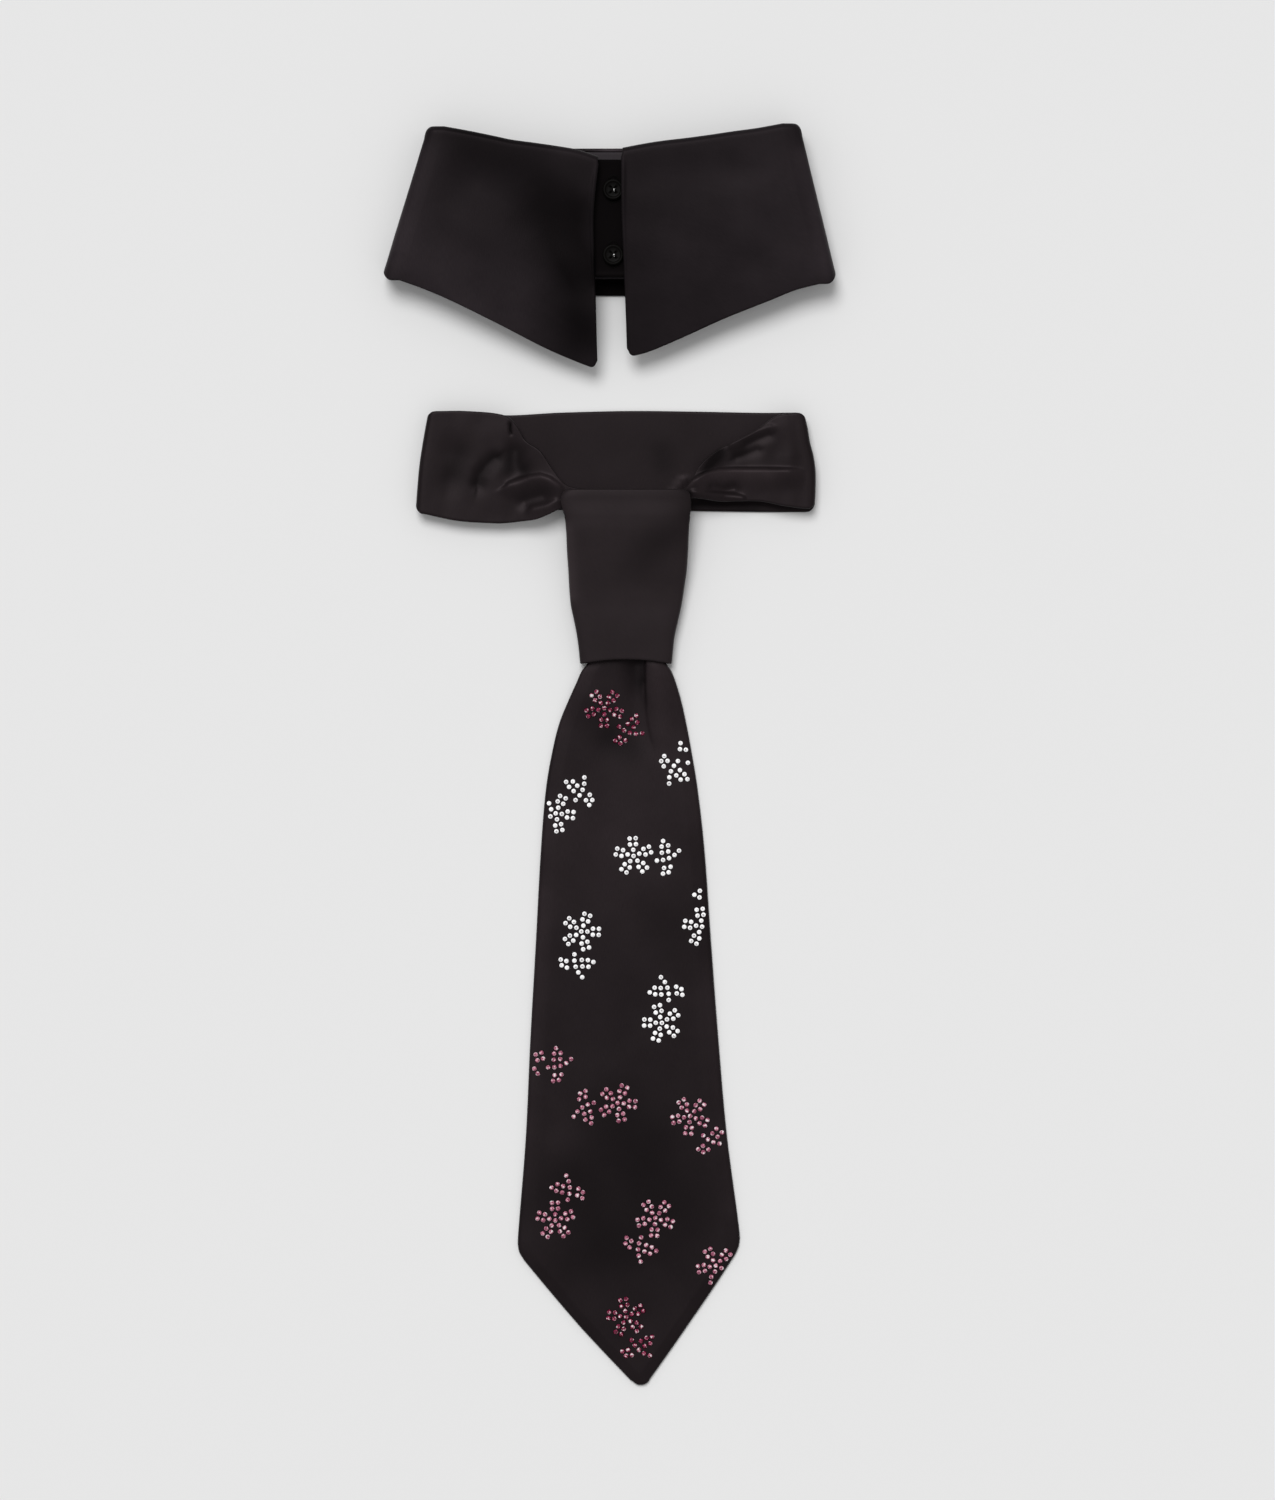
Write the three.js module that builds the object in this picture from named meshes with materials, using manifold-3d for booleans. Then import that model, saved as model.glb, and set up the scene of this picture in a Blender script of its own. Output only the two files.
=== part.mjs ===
// A bib collar and necktie: a detachable pointed collar on a buttoned stand, and a ready-made tie on a band.
// Both lie flat, face up. Millimetres, +Z up off the table, +X across, +Y from the tie's tip to the collar.
// The origin is the middle of the rectangle that the set covers, on the surface that it lies on.
import * as THREE from "three";
import { mergeVertices } from "three/addons/utils/BufferGeometryUtils.js";
import Module from "manifold-3d";

const SEAT = 0.3; // clearance between pieces that rest on or hold each other

// Collar. Its own frame has x 0 in the middle and y 0 at the top of the back.
const COLLAR = {
  cloth: 1.5, // fused double cloth
  neckLeft: 88.9, // from the middle out to each end of the top fold, lying flat
  neckRight: 91.8,
  hemLeft: 108.8, // from the middle out to the lowest side corners
  hemRight: 108.2,
  hemLift: 2.4, // how much higher the hem lies on the side folds
  neckDip: 11, // from the higher top corner down to the front's middle
  neckRound: 1.8, // how much the top corners are rounded
  pointLeft: 107, // leaf length down its inner edge
  pointRight: 101.2,
  sideDepth: 62.6, // how far below the back's top the lower side corners lie
  backDepth: 70.8, // height of the back of the fall
  standDepth: 62.9, // from the back's top to the stand's lower edge
  bareRim: 0.4, // free height between a button and the leaf over it
  leafGap: 13.4, // between the two leaves
  cornerRound: 3.2, // rounding of each leaf's point
  neckSpace: 7, // free height between the stand's front and back
  backPly: 0.6, // between the fall and the stand at the back
  pointDroop: 5.2, // how far a leaf's point sags below its top
  lapLength: 24, // how far the stand's two ends overlap
  seam: 1, // from the fall's sewn edge down to the top of the stand
};
const BUTTON = {
  radius: 5,
  thick: 2.1,
  rim: 1.1, // width of the raised rim
  dish: 0.5, // how far the middle lies below the rim
  edge: 0.4, // chamfer
  holeRadius: 0.55,
  holePitch: 2.1,
  line: 1.4, // how far the buttons lie to the right of the middle
  first: 21.2, // from the back's top down to the upper button
  pitch: 31.2,
};
const BUTTONHOLE = { length: 11.5, width: 2.4, above: 6.2 };
const SHANK = { radius: 0.9 }; // the bundle of thread that holds a button

// Shapes of the leaves, by the share of the way from a leaf's inner edge out to the side fold.
const TOP_EDGE = [
  { across: 0, left: -0.46, right: -0.1 },
  { across: 0.12, left: -0.2, right: 0.06 },
  { across: 0.25, left: -0.045, right: 0.2 },
  { across: 0.4, left: 0.1, right: 0.32 },
  { across: 0.56, left: 0.245, right: 0.47 },
  { across: 0.67, left: 0.4, right: 0.585 },
  { across: 0.84, left: 0.63, right: 0.745 },
  { across: 1, left: 0.82, right: 0.945 },
];
const POINT_SLANT = 1.6; // how much longer than wide the rounding of a leaf's point is
// How far each leaf's inner edge lies from the middle, as a share of the gap.
const INNER_EDGE = [
  { down: 0, left: 0.47, right: 0.46 },
  { down: 0.25, left: 0.655, right: 0.47 },
  { down: 0.5, left: 0.62, right: 0.53 },
  { down: 0.75, left: 0.54, right: 0.58 },
  { down: 1, left: 0.48, right: 0.63 },
];
const HEM_EDGE = [
  { across: 0, left: 0, right: 0, sag: 1 },
  { across: 0.1, left: 0.08, right: 0.058, sag: 0.92 },
  { across: 0.25, left: 0.216, right: 0.204, sag: 0.8 },
  { across: 0.5, left: 0.485, right: 0.47, sag: 0.6 },
  { across: 0.75, left: 0.743, right: 0.704, sag: 0.5 },
  { across: 0.875, left: 0.857, right: 0.824, sag: 0.5 },
  { across: 1, left: 0.953, right: 0.9, sag: 0.5 },
];

// Tie. Its own frame has y 0 at the knot's top edge and x 0 in the middle of the neck band.
const BAND = {
  cloth: 1.4,
  half: 95.8, // from the middle to the end folds, at the bottom
  top: 37, // upper edge of the back
  cornerRound: 1.8, // how much the corners of the end folds are rounded
  bottom: -10.2, // lower edge of the back
  neckSpace: 6, // free height between back and arms
  armEndLeft: -4, // where each arm ends inside the knot
  armEndRight: 15,
};
const KNOT = {
  wall: 1.7,
  axis: 5.5, // its middle, across
  half: 31.7, // half its width at the shoulders
  length: 83.5,
  depth: 10.6, // its thickness over the neck band
  notch: 12.5, // how far down the arms come in at each side
  armLevel: 0.44, // where in its depth the arms lie
  bow: 2.1, // how far the middle of the hem hangs above its corners
};
const BLADE = {
  thick: 3,
  thickInKnot: 2.4,
  length: 346.8, // from the knot's hem to the tip
  half: 52.7, // half the width at the corners
  side: 281.5, // from the knot's hem down to the corners
  tipLean: 6.9, // how far the tip lies to the right of the knot's middle
  skew: 1.4, // how much higher the right corner lies than the middle
  bulge: 1.1, // how much the edges of the point curve out
  cornerRound: 4, // length of side that a corner's rounding takes
  cornerCut: 0.22, // how far it cuts in, as a share of that
  tipRound: 5, // radius of the tip
  tuck: 30, // length inside the knot
  edgeRoll: 1.6, // width of the rounded edge
  underRoll: 0.4, // how much of that rounding the underside has
  settle: 32, // length over which it comes down to the table below the knot
};

// How far out the end folds reach, by the share of the way down, as shares of BAND.half.
const BAND_ENDS = [
  { across: 0, left: 0.9415, right: 0.952 },
  { across: 0.15, left: 0.953, right: 0.965 },
  { across: 0.3, left: 0.965, right: 0.976 },
  { across: 0.45, left: 0.977, right: 0.994 },
  { across: 0.6, left: 0.986, right: 1.004 },
  { across: 0.8, left: 0.994, right: 1.004 },
  { across: 1, left: 1, right: 1 },
];
// The back's upper and lower edges, by the share of the way from the left end fold to the right one.
const BAND_BACK = [
  { behind: 0, upper: 1.01, lower: 0.96 },
  { behind: 0.2, upper: 0.978, lower: 0.94 },
  { behind: 0.34, upper: 1.012, lower: 0.925 },
  { behind: 0.54, upper: 1.034, lower: 0.925 },
  { behind: 0.73, upper: 1.025, lower: 0.98 },
  { behind: 0.9, upper: 1.01, lower: 1.02 },
  { behind: 1, upper: 1.014, lower: 1.02 },
];
// Upper and lower edges of the two arms, by the share of the way from the end fold to the knot.
const LEFT_ARM = [
  { along: 0, upper: 1.02, lower: 1.15 },
  { along: 0.18, upper: 1.02, lower: 1.47 },
  { along: 0.4, upper: 0.965, lower: 1.59 },
  { along: 0.47, upper: 0.84, lower: 1.56 },
  { along: 0.52, upper: 0.65, lower: 1.51 },
  { along: 0.61, upper: 0.5, lower: 1.41 },
  { along: 0.68, upper: 0.27, lower: 1.19 },
  { along: 0.75, upper: 0.08, lower: 0.9 },
  { along: 0.82, upper: 0.02, lower: 0.8 },
  { along: 1, upper: 0, lower: 0.78 },
];
const RIGHT_ARM = [
  { along: 0, upper: 1, lower: 0.9 },
  { along: 0.14, upper: 0.95, lower: 0.76 },
  { along: 0.28, upper: 0.76, lower: 0.56 },
  { along: 0.42, upper: 0.62, lower: 0.54 },
  { along: 0.54, upper: 0.5, lower: 0.56 },
  { along: 0.65, upper: 0.3, lower: 0.45 },
  { along: 0.72, upper: 0.06, lower: 0.42 },
  { along: 0.8, upper: -0.06, lower: 0.55 },
  { along: 1, upper: -0.1, lower: 0.6 },
];
// Ridges pressed into the arms. Each runs from one place to another, by share of the arm's length and of the
// local width from its upper edge. Height and spread are shares of BAND.top.
const LEFT_FOLDS = [
  { from: [0.44, 0.66], to: [0.78, 0.45], height: 0.07, spread: 0.12 },
  { from: [0.62, 0.95], to: [0.8, 0.9], height: 0.049, spread: 0.092 },
  { from: [0.36, 0.5], to: [0.46, 0.28], height: 0.04, spread: 0.135 },
  { from: [0.42, 0.12], to: [0.66, 0.08], height: 0.043, spread: 0.108 },
  { from: [0.12, 0.2], to: [0.22, 0.8], height: 0.032, spread: 0.3 },
];
const RIGHT_FOLDS = [
  { from: [0.04, 0.62], to: [0.78, 0.5], height: 0.065, spread: 0.114 },
  { from: [0.3, 0.97], to: [0.78, 0.95], height: 0.038, spread: 0.086 },
  { from: [0.3, 0.1], to: [0.72, 0.1], height: 0.049, spread: 0.103 },
  { from: [0.08, 0.15], to: [0.2, 0.4], height: 0.024, spread: 0.216 },
];
// Where along an arm it rises into the knot, and where its ridges fade out.
const ARM_RISE = { from: 0.45, over: 0.28 };
const ARM_FADE = { start: 0.12, from: 0.64, over: 0.14 };
// The knot by the share of the way down: its half width, how far its middle leans to the right, how high its
// underside is over the table, and its depth.
const KNOT_ROWS = [
  { down: 0, half: 0.93, lean: -0.01, under: 1, depth: 0.82 },
  { down: 0.035, half: 1.002, lean: -0.012, under: 1, depth: 0.95 },
  { down: 0.07, half: 1.014, lean: -0.012, under: 1, depth: 0.98 },
  { down: 0.12, half: 0.985, lean: 0.002, under: 1, depth: 1 },
  { down: 0.16, half: 0.95, lean: 0.01, under: 1, depth: 1 },
  { down: 0.24, half: 0.928, lean: 0.012, under: 0.93, depth: 1 },
  { down: 0.34, half: 0.918, lean: 0.012, under: 0.55, depth: 1.08 },
  { down: 0.46, half: 0.898, lean: 0.012, under: 0.15, depth: 1.16 },
  { down: 0.56, half: 0.872, lean: 0, under: 0.02, depth: 1.08 },
  { down: 0.66, half: 0.84, lean: -0.009, under: 0, depth: 1 },
  { down: 0.75, half: 0.789, lean: -0.01, under: 0, depth: 0.96 },
  { down: 0.84, half: 0.74, lean: -0.014, under: 0, depth: 0.92 },
  { down: 0.93, half: 0.712, lean: -0.012, under: 0, depth: 0.86 },
  { down: 1, half: 0.695, lean: -0.012, under: 0, depth: 0.82 },
];
const KNOT_SQUARE = 4.6; // how square the knot's cross-section is: 2 would be an ellipse
// How the knot's top edge climbs from the side notches, by share of the depth.
const KNOT_NOTCH = { from: 0.15, over: 0.25 };
// The blade's half width and how far its middle leans to the right, by the share of the way to its corners.
const BLADE_ROWS = [
  { down: 0, half: 0.362, lean: 0 },
  { down: 0.012, half: 0.41, lean: -0.02 },
  { down: 0.03, half: 0.45, lean: -0.04 },
  { down: 0.062, half: 0.514, lean: -0.14 },
  { down: 0.1, half: 0.578, lean: -0.28 },
  { down: 0.143, half: 0.629, lean: -0.34 },
  { down: 0.21, half: 0.69, lean: -0.355 },
  { down: 0.314, half: 0.745, lean: -0.295 },
  { down: 0.477, half: 0.8, lean: -0.24 },
  { down: 0.641, half: 0.858, lean: -0.18 },
  { down: 0.805, half: 0.9166, lean: -0.045 },
  { down: 0.9685, half: 1.008, lean: 0.125 },
  { down: 1, half: 1.018, lean: 0.15 },
];
// The pleat below the knot: its edge and how that leans, how far down it reaches and its step up.
// A soft dent lies beside it.
const PLEAT = { across: 9.4, lean: 0.2, reach: 62, step: 1.5, ramp: 2.5, width: 24, inKnot: 0.4 };
const DENT = { across: -2, down: 36, depth: 0.7, spread: 20 };
const TIE_SHIFT = 2.4; // how far the tie lies to the right of the collar
const PIECE_GAP = 20.3; // clear table between the collar's points and the tie's neck band

const CLOTH_COLOUR = 0x221e20;
const satin = new THREE.MeshStandardMaterial({ color: CLOTH_COLOUR, roughness: 0.62, metalness: 0 });
const crepe = new THREE.MeshStandardMaterial({ color: CLOTH_COLOUR, roughness: 0.7, metalness: 0 });
const resin = new THREE.MeshStandardMaterial({ color: 0x151314, roughness: 0.3, metalness: 0 });
const thread = new THREE.MeshStandardMaterial({ color: 0x1b191a, roughness: 0.9, metalness: 0 });

const wasm = await Module();
wasm.setup();

const mix = (a, b, t) => a + (b - a) * t;
const smooth = (t) => {
  const c = Math.min(1, Math.max(0, t));
  return c * c * (3 - 2 * c);
};

// The value of one column of a table, smoothly between its rows.
function read(table, at, where, column) {
  const last = table.length - 1;
  if (where <= table[0][at]) return table[0][column];
  if (where >= table[last][at]) return table[last][column];
  const i = table.findIndex((row) => row[at] > where) - 1;
  const slope = (k) => {
    const a = table[Math.max(0, k - 1)];
    const b = table[Math.min(last, k + 1)];
    return (b[column] - a[column]) / (b[at] - a[at]);
  };
  const span = table[i + 1][at] - table[i][at];
  const t = (where - table[i][at]) / span;
  const bend = t * t * (3 - 2 * t);
  const lead = t * (1 - t) * (1 - t) * slope(i) * span;
  const trail = t * t * (1 - t) * slope(i + 1) * span;
  return mix(table[i][column], table[i + 1][column], bend) + lead - trail;
}

// Shares from 0 to 1 in even steps.
const steps = (count) => Array.from({ length: count + 1 }, (_, i) => i / count);

// A mesh from points and faces. A face is a ring of point numbers that turns left when seen from outside.
function meshOf(points, faces) {
  const places = points.flatMap((p) => [p.x, p.y, p.z]);
  const fan = (face) => face.slice(2).flatMap((_, k) => [face[0], face[k + 1], face[k + 2]]);
  const geometry = new THREE.BufferGeometry();
  geometry.setAttribute("position", new THREE.Float32BufferAttribute(places, 3));
  geometry.setIndex(faces.flatMap(fan));
  return geometry;
}

// A closed cloth wall about its middle surface: middle[i][j] runs i along and j across.
// The outside is where along x across points. A round cloth joins its last column to its first.
function cloth(middle, thickness, round = false) {
  const columns = middle.length;
  const rows = middle[0].length;
  const column = (i) => (round ? (i + columns) % columns : Math.min(columns - 1, Math.max(0, i)));
  const row = (j) => Math.min(rows - 1, Math.max(0, j));
  const points = [];
  for (const side of [0.5, -0.5]) {
    for (let i = 0; i < columns; i++) {
      for (let j = 0; j < rows; j++) {
        const along = middle[column(i + 1)][j].clone().sub(middle[column(i - 1)][j]);
        const across = middle[i][row(j + 1)].clone().sub(middle[i][row(j - 1)]);
        const normal = along.cross(across).normalize();
        points.push(middle[i][j].clone().addScaledVector(normal, side * thickness));
      }
    }
  }
  const outer = (i, j) => column(i) * rows + j;
  const inner = (i, j) => outer(i, j) + columns * rows;
  const faces = [];
  const spans = round ? columns : columns - 1;
  for (let i = 0; i < spans; i++) {
    for (let j = 0; j < rows - 1; j++) {
      faces.push([outer(i, j), outer(i + 1, j), outer(i + 1, j + 1), outer(i, j + 1)]);
      faces.push([inner(i, j), inner(i, j + 1), inner(i + 1, j + 1), inner(i + 1, j)]);
    }
    faces.push([inner(i, 0), inner(i + 1, 0), outer(i + 1, 0), outer(i, 0)]);
    faces.push([outer(i, rows - 1), outer(i + 1, rows - 1), inner(i + 1, rows - 1), inner(i, rows - 1)]);
  }
  for (let j = 0; j < rows - 1 && !round; j++) {
    faces.push([outer(0, j), outer(0, j + 1), inner(0, j + 1), inner(0, j)]);
    const end = columns - 1;
    faces.push([inner(end, j), inner(end, j + 1), outer(end, j + 1), outer(end, j)]);
  }
  return meshOf(points, faces);
}

// Joins and cuts closed meshes.
function solid(geometry) {
  const bare = new THREE.BufferGeometry();
  bare.setAttribute("position", geometry.getAttribute("position"));
  if (geometry.index) bare.setIndex(geometry.index);
  const merged = mergeVertices(bare, 1e-4);
  return new wasm.Manifold(
    new wasm.Mesh({
      numProp: 3,
      vertProperties: new Float32Array(merged.attributes.position.array),
      triVerts: new Uint32Array(merged.index.array),
    }),
  );
}
function geometryOf(manifold) {
  const mesh = manifold.getMesh();
  const geometry = new THREE.BufferGeometry();
  geometry.setAttribute("position", new THREE.BufferAttribute(new Float32Array(mesh.vertProperties), 3));
  geometry.setIndex(new THREE.BufferAttribute(new Uint32Array(mesh.triVerts), 1));
  return geometry;
}

// Heights of the collar's layers above the table, at the middle of each cloth.
const fallBackZ = COLLAR.cloth / 2;
const standBackZ = fallBackZ + COLLAR.cloth + COLLAR.backPly;
const standUnderZ = standBackZ + COLLAR.cloth + COLLAR.neckSpace;
const standOverZ = standUnderZ + COLLAR.cloth + SEAT;
const buttonZ = standOverZ + COLLAR.cloth / 2 + SEAT;
const fallFrontZ = buttonZ + BUTTON.thick + 2 * SEAT + COLLAR.bareRim + COLLAR.cloth / 2;
const rollFront = (fallFrontZ - standOverZ) / 2;
const rollBack = (standBackZ - fallBackZ) / 2;

// The columns that run round a flattened loop: from the left leaf's inner edge out to the side fold, behind,
// and back to the right leaf's inner edge. turn is the angle round a side fold, from its front.
function loopColumns(front, fold, back) {
  const leaf = [0, 0.012, 0.04, ...steps(front).slice(1)];
  const folds = steps(fold).slice(1, -1);
  return [
    ...leaf.map((out) => ({ side: -1, out, turn: 0 })),
    ...folds.map((t) => ({ side: -1, out: 1, turn: t * Math.PI })),
    ...steps(back).map((t) => ({ side: t < 0.5 ? -1 : 1, behind: t, turn: Math.PI })),
    ...folds.toReversed().map((t) => ({ side: 1, out: 1, turn: t * Math.PI })),
    ...leaf.toReversed().map((out) => ({ side: 1, out, turn: 0 })),
  ];
}

// A point of a flattened loop: x between the inner edge and the side fold, z between its two heights.
function loopPoint(column, inner, reachOf, frontZ, backZ) {
  const bend = (frontZ - backZ) / 2;
  const foldX = (side) => side * (reachOf(side) - bend);
  if (column.behind !== undefined) return { x: mix(foldX(-1), foldX(1), column.behind), z: backZ };
  if (column.turn === 0) return { x: mix(column.side * inner, foldX(column.side), column.out), z: frontZ };
  const x = foldX(column.side) + column.side * bend * Math.sin(column.turn);
  return { x, z: (frontZ + backZ) / 2 + bend * Math.cos(column.turn) };
}

// How far round a side fold a column is, from 0 at the front to 1 behind.
const behindShare = (column) => (column.behind === undefined ? (1 - Math.cos(column.turn)) / 2 : 1);

// How far the middle of the stand's cloth lies from the middle of the collar at a side fold.
const standReach = (side) => neckSide(side) - COLLAR.cloth / 2 - rollFront - rollBack;
const neckSide = (side) => (side < 0 ? COLLAR.neckLeft : COLLAR.neckRight);

const sideName = (side) => (side < 0 ? "left" : "right");

// The top of the neck fold at a place across the collar, lower where the column runs round a side fold.
// Between the leaves one side's line runs over into the other's, and the back is straight there.
function neckTop(x, column) {
  const inner = COLLAR.leafGap / 2;
  const rise = (side) => {
    const foldX = standReach(side) - (standOverZ - standBackZ) / 2;
    return read(TOP_EDGE, "across", (Math.abs(x) - inner) / (foldX - inner), sideName(side));
  };
  const both = mix(rise(-1), rise(1), smooth(x / (2 * inner - 2) + 0.5));
  const level = column.behind === undefined ? both : Math.max(0, both);
  return COLLAR.neckDip * level - COLLAR.neckRound * Math.sin(column.turn) ** 2;
}

// The lower edge of the fall at a column.
function hem(column) {
  const point = column.side < 0 ? COLLAR.pointLeft : COLLAR.pointRight;
  const across = column.out ?? 1;
  const sag = read(HEM_EDGE, "across", across, "sag") * COLLAR.pointDroop;
  const reach = (side) => (side < 0 ? COLLAR.hemLeft : COLLAR.hemRight) - COLLAR.cloth / 2;
  const at = loopPoint(column, COLLAR.leafGap / 2, reach, fallFrontZ - sag, fallBackZ);
  const fromEdge = Math.abs(at.x) - COLLAR.leafGap / 2;
  const short = Math.min(COLLAR.cornerRound, Math.max(0, COLLAR.cornerRound - fromEdge));
  const round = COLLAR.cornerRound - Math.sqrt(COLLAR.cornerRound ** 2 - short ** 2);
  const rise = read(HEM_EDGE, "across", across, sideName(column.side));
  const front = -mix(point, COLLAR.sideDepth, rise) + round * POINT_SLANT;
  const lift = Math.sin(column.turn) * COLLAR.hemLift;
  const centre = column.behind === undefined ? 0 : Math.sin(column.behind * Math.PI);
  const back = -mix(COLLAR.sideDepth, COLLAR.backDepth, centre ** 0.5);
  return new THREE.Vector3(at.x, mix(front, back, behindShare(column)) + lift, at.z);
}

// The fall: it starts at the stand's top edge, rolls outwards over it and hangs down to the hem all round.
function fallPoint(column, across) {
  const roll = mix(rollFront, rollBack, behindShare(column));
  const seam = loopPoint(column, COLLAR.leafGap / 2 - 1, standReach, standOverZ, standBackZ);
  const out = new THREE.Vector3(column.side * Math.sin(column.turn), 0, Math.cos(column.turn));
  const top = neckTop(seam.x, column) - COLLAR.cloth / 2 - roll;
  const start = new THREE.Vector3(seam.x, top, seam.z);
  if (across.roll !== undefined) {
    const turn = across.roll * Math.PI;
    start.y += roll * Math.sin(turn);
    return start.addScaledVector(out, roll * (1 - Math.cos(turn)));
  }
  start.addScaledVector(out, 2 * roll);
  const end = hem(column);
  const point = start.clone().lerp(end, across.down);
  if (column.turn > 0) return point;
  point.z = mix(start.z, end.z, across.down ** 3);
  const inner = COLLAR.leafGap * (read(INNER_EDGE, "down", across.down, sideName(column.side)) - 0.5);
  point.x += column.side * inner * (1 - column.out);
  return point;
}
function collarFall() {
  const rows = [...steps(4).map((roll) => ({ roll })), ...steps(6).slice(1).map((down) => ({ down }))];
  const middle = loopColumns(8, 6, 6).map((column) => rows.map((row) => fallPoint(column, row)));
  return cloth(middle, COLLAR.cloth);
}

// The stand: a strap round the neck inside the fall, whose left end laps over its right end at the front.
function standPoint(column, down) {
  const overEnd = BUTTON.line + COLLAR.lapLength / 2;
  const underEnd = BUTTON.line - COLLAR.lapLength / 2;
  const at = loopPoint(column, column.side < 0 ? -overEnd : underEnd, standReach, standOverZ, standBackZ);
  const inLap = column.side > 0 && column.turn === 0;
  const under = inLap ? 1 - smooth((at.x - overEnd - 2 * SEAT) / COLLAR.lapLength) : 0;
  const z = at.z - under * (standOverZ - standUnderZ);
  const roll = mix(rollFront, rollBack, behindShare(column));
  const top = neckTop(at.x, column) - COLLAR.cloth / 2 - roll - COLLAR.seam;
  return new THREE.Vector3(at.x, mix(top, -COLLAR.standDepth, down), z);
}
function collarStand() {
  const middle = loopColumns(24, 6, 6).map((column) => steps(3).map((down) => standPoint(column, down)));
  let strap = solid(cloth(middle, COLLAR.cloth));
  for (const y of buttonRows) {
    const slot = new THREE.BoxGeometry(BUTTONHOLE.width, BUTTONHOLE.length, COLLAR.cloth + SEAT);
    slot.translate(BUTTON.line, y + BUTTONHOLE.above - BUTTONHOLE.length / 2, standOverZ);
    strap = strap.subtract(solid(slot));
  }
  return geometryOf(strap);
}
const buttonRows = [0, 1].map((n) => -BUTTON.first - n * BUTTON.pitch);

// A four-hole button with a raised rim, face up.
function button() {
  const { radius, thick, rim, dish, edge } = BUTTON;
  const profile = [
    [0, 0],
    [radius - edge, 0],
    [radius, edge],
    [radius, thick - edge],
    [radius - edge, thick],
    [radius - rim, thick],
    [radius - rim - dish, thick - dish],
    [0, thick - dish],
  ];
  const disc = new THREE.LatheGeometry(profile.map(([r, z]) => new THREE.Vector2(r, z)), 20);
  let body = solid(closeLathe(disc));
  for (const [x, y] of [[1, 1], [-1, 1], [-1, -1], [1, -1]]) {
    const drill = new THREE.CylinderGeometry(BUTTON.holeRadius, BUTTON.holeRadius, 3 * thick, 8);
    drill.rotateX(Math.PI / 2).translate((x * BUTTON.holePitch) / 2, (y * BUTTON.holePitch) / 2, 0);
    body = body.subtract(solid(drill));
  }
  return geometryOf(body);
}

// A lathe turns about Y. This stands it up along Z and drops the triangles that its axis points leave flat.
function closeLathe(lathe) {
  const bare = new THREE.BufferGeometry();
  bare.setAttribute("position", lathe.getAttribute("position"));
  bare.setIndex(lathe.index);
  const merged = mergeVertices(bare, 1e-4);
  const index = [...merged.index.array];
  const kept = [];
  for (let i = 0; i < index.length; i += 3) {
    const [a, b, c] = index.slice(i, i + 3);
    if (a !== b && b !== c && c !== a) kept.push(a, b, c);
  }
  merged.setIndex(kept);
  return merged.rotateX(Math.PI / 2);
}

// The thread that holds a button: it passes through the buttonhole down to the stand's under end.
function shank() {
  const foot = standUnderZ + COLLAR.cloth / 2 + SEAT;
  const height = buttonZ - SEAT - foot;
  const bundle = new THREE.CylinderGeometry(SHANK.radius, SHANK.radius, height, 10);
  return bundle.rotateX(Math.PI / 2).translate(0, 0, foot + height / 2);
}

// Heights of the tie's layers.
const bandBackZ = BAND.cloth / 2;
const armZ = BAND.cloth + BAND.neckSpace + BAND.cloth / 2;
const knotUnder = BAND.cloth + BAND.neckSpace;
const armInKnotZ = knotUnder + KNOT.depth * KNOT.armLevel;

// How high the ridges stand at a place on an arm.
function foldHeight(folds, along, across, length, width) {
  return folds.reduce((sum, fold) => {
    const [x, y] = [along * length, across * width];
    const [ax, ay] = [fold.from[0] * length, fold.from[1] * width];
    const [bx, by] = [fold.to[0] * length, fold.to[1] * width];
    const run = (bx - ax) ** 2 + (by - ay) ** 2;
    const t = Math.min(1, Math.max(0, ((x - ax) * (bx - ax) + (y - ay) * (by - ay)) / run));
    const away = Math.hypot(x - mix(ax, bx, t), y - mix(ay, by, t));
    return sum + fold.height * BAND.top * Math.exp(-((away / (fold.spread * BAND.top)) ** 2));
  }, 0);
}

// The neck band: a back, two end folds and two arms that narrow into the knot, all one strap.
function bandPoint(column, across) {
  const bend = (armZ - bandBackZ) / 2;
  const reach = (side) => BAND.half * read(BAND_ENDS, "across", across, sideName(side)) - BAND.cloth / 2;
  const foldX = (side) => side * (reach(side) - bend);
  const behind = column.behind ?? (column.side < 0 ? 0 : 1);
  const backUpper = BAND.top * read(BAND_BACK, "behind", behind, "upper");
  const backLower = BAND.bottom * read(BAND_BACK, "behind", behind, "lower");
  const backY = mix(backUpper, backLower, across);
  if (column.behind !== undefined) {
    return new THREE.Vector3(mix(foldX(-1), foldX(1), column.behind), backY, bandBackZ);
  }
  const table = column.side < 0 ? LEFT_ARM : RIGHT_ARM;
  const along = column.turn === 0 ? 1 - column.out : 0;
  const upper = BAND.top * read(table, "along", along, "upper");
  const lower = BAND.bottom * read(table, "along", along, "lower");
  const armY = mix(upper, lower, across);
  if (column.turn > 0) {
    const x = foldX(column.side) + column.side * bend * Math.sin(column.turn);
    const round = BAND.cornerRound * Math.sin(column.turn) * (1 - 2 * across) ** 3;
    const z = (armZ + bandBackZ) / 2 + bend * Math.cos(column.turn);
    return new THREE.Vector3(x, mix(armY, backY, behindShare(column)) - round, z);
  }
  const start = foldX(column.side);
  const end = column.side < 0 ? BAND.armEndLeft : BAND.armEndRight;
  const rise = (armInKnotZ - armZ) * smooth((along - ARM_RISE.from) / ARM_RISE.over);
  const fade = smooth(along / ARM_FADE.start) * (1 - smooth((along - ARM_FADE.from) / ARM_FADE.over));
  const folds = column.side < 0 ? LEFT_FOLDS : RIGHT_FOLDS;
  const height = foldHeight(folds, along, across, Math.abs(end - start), upper - lower) * fade;
  return new THREE.Vector3(mix(start, end, along), armY, armZ + rise + height);
}
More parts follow.
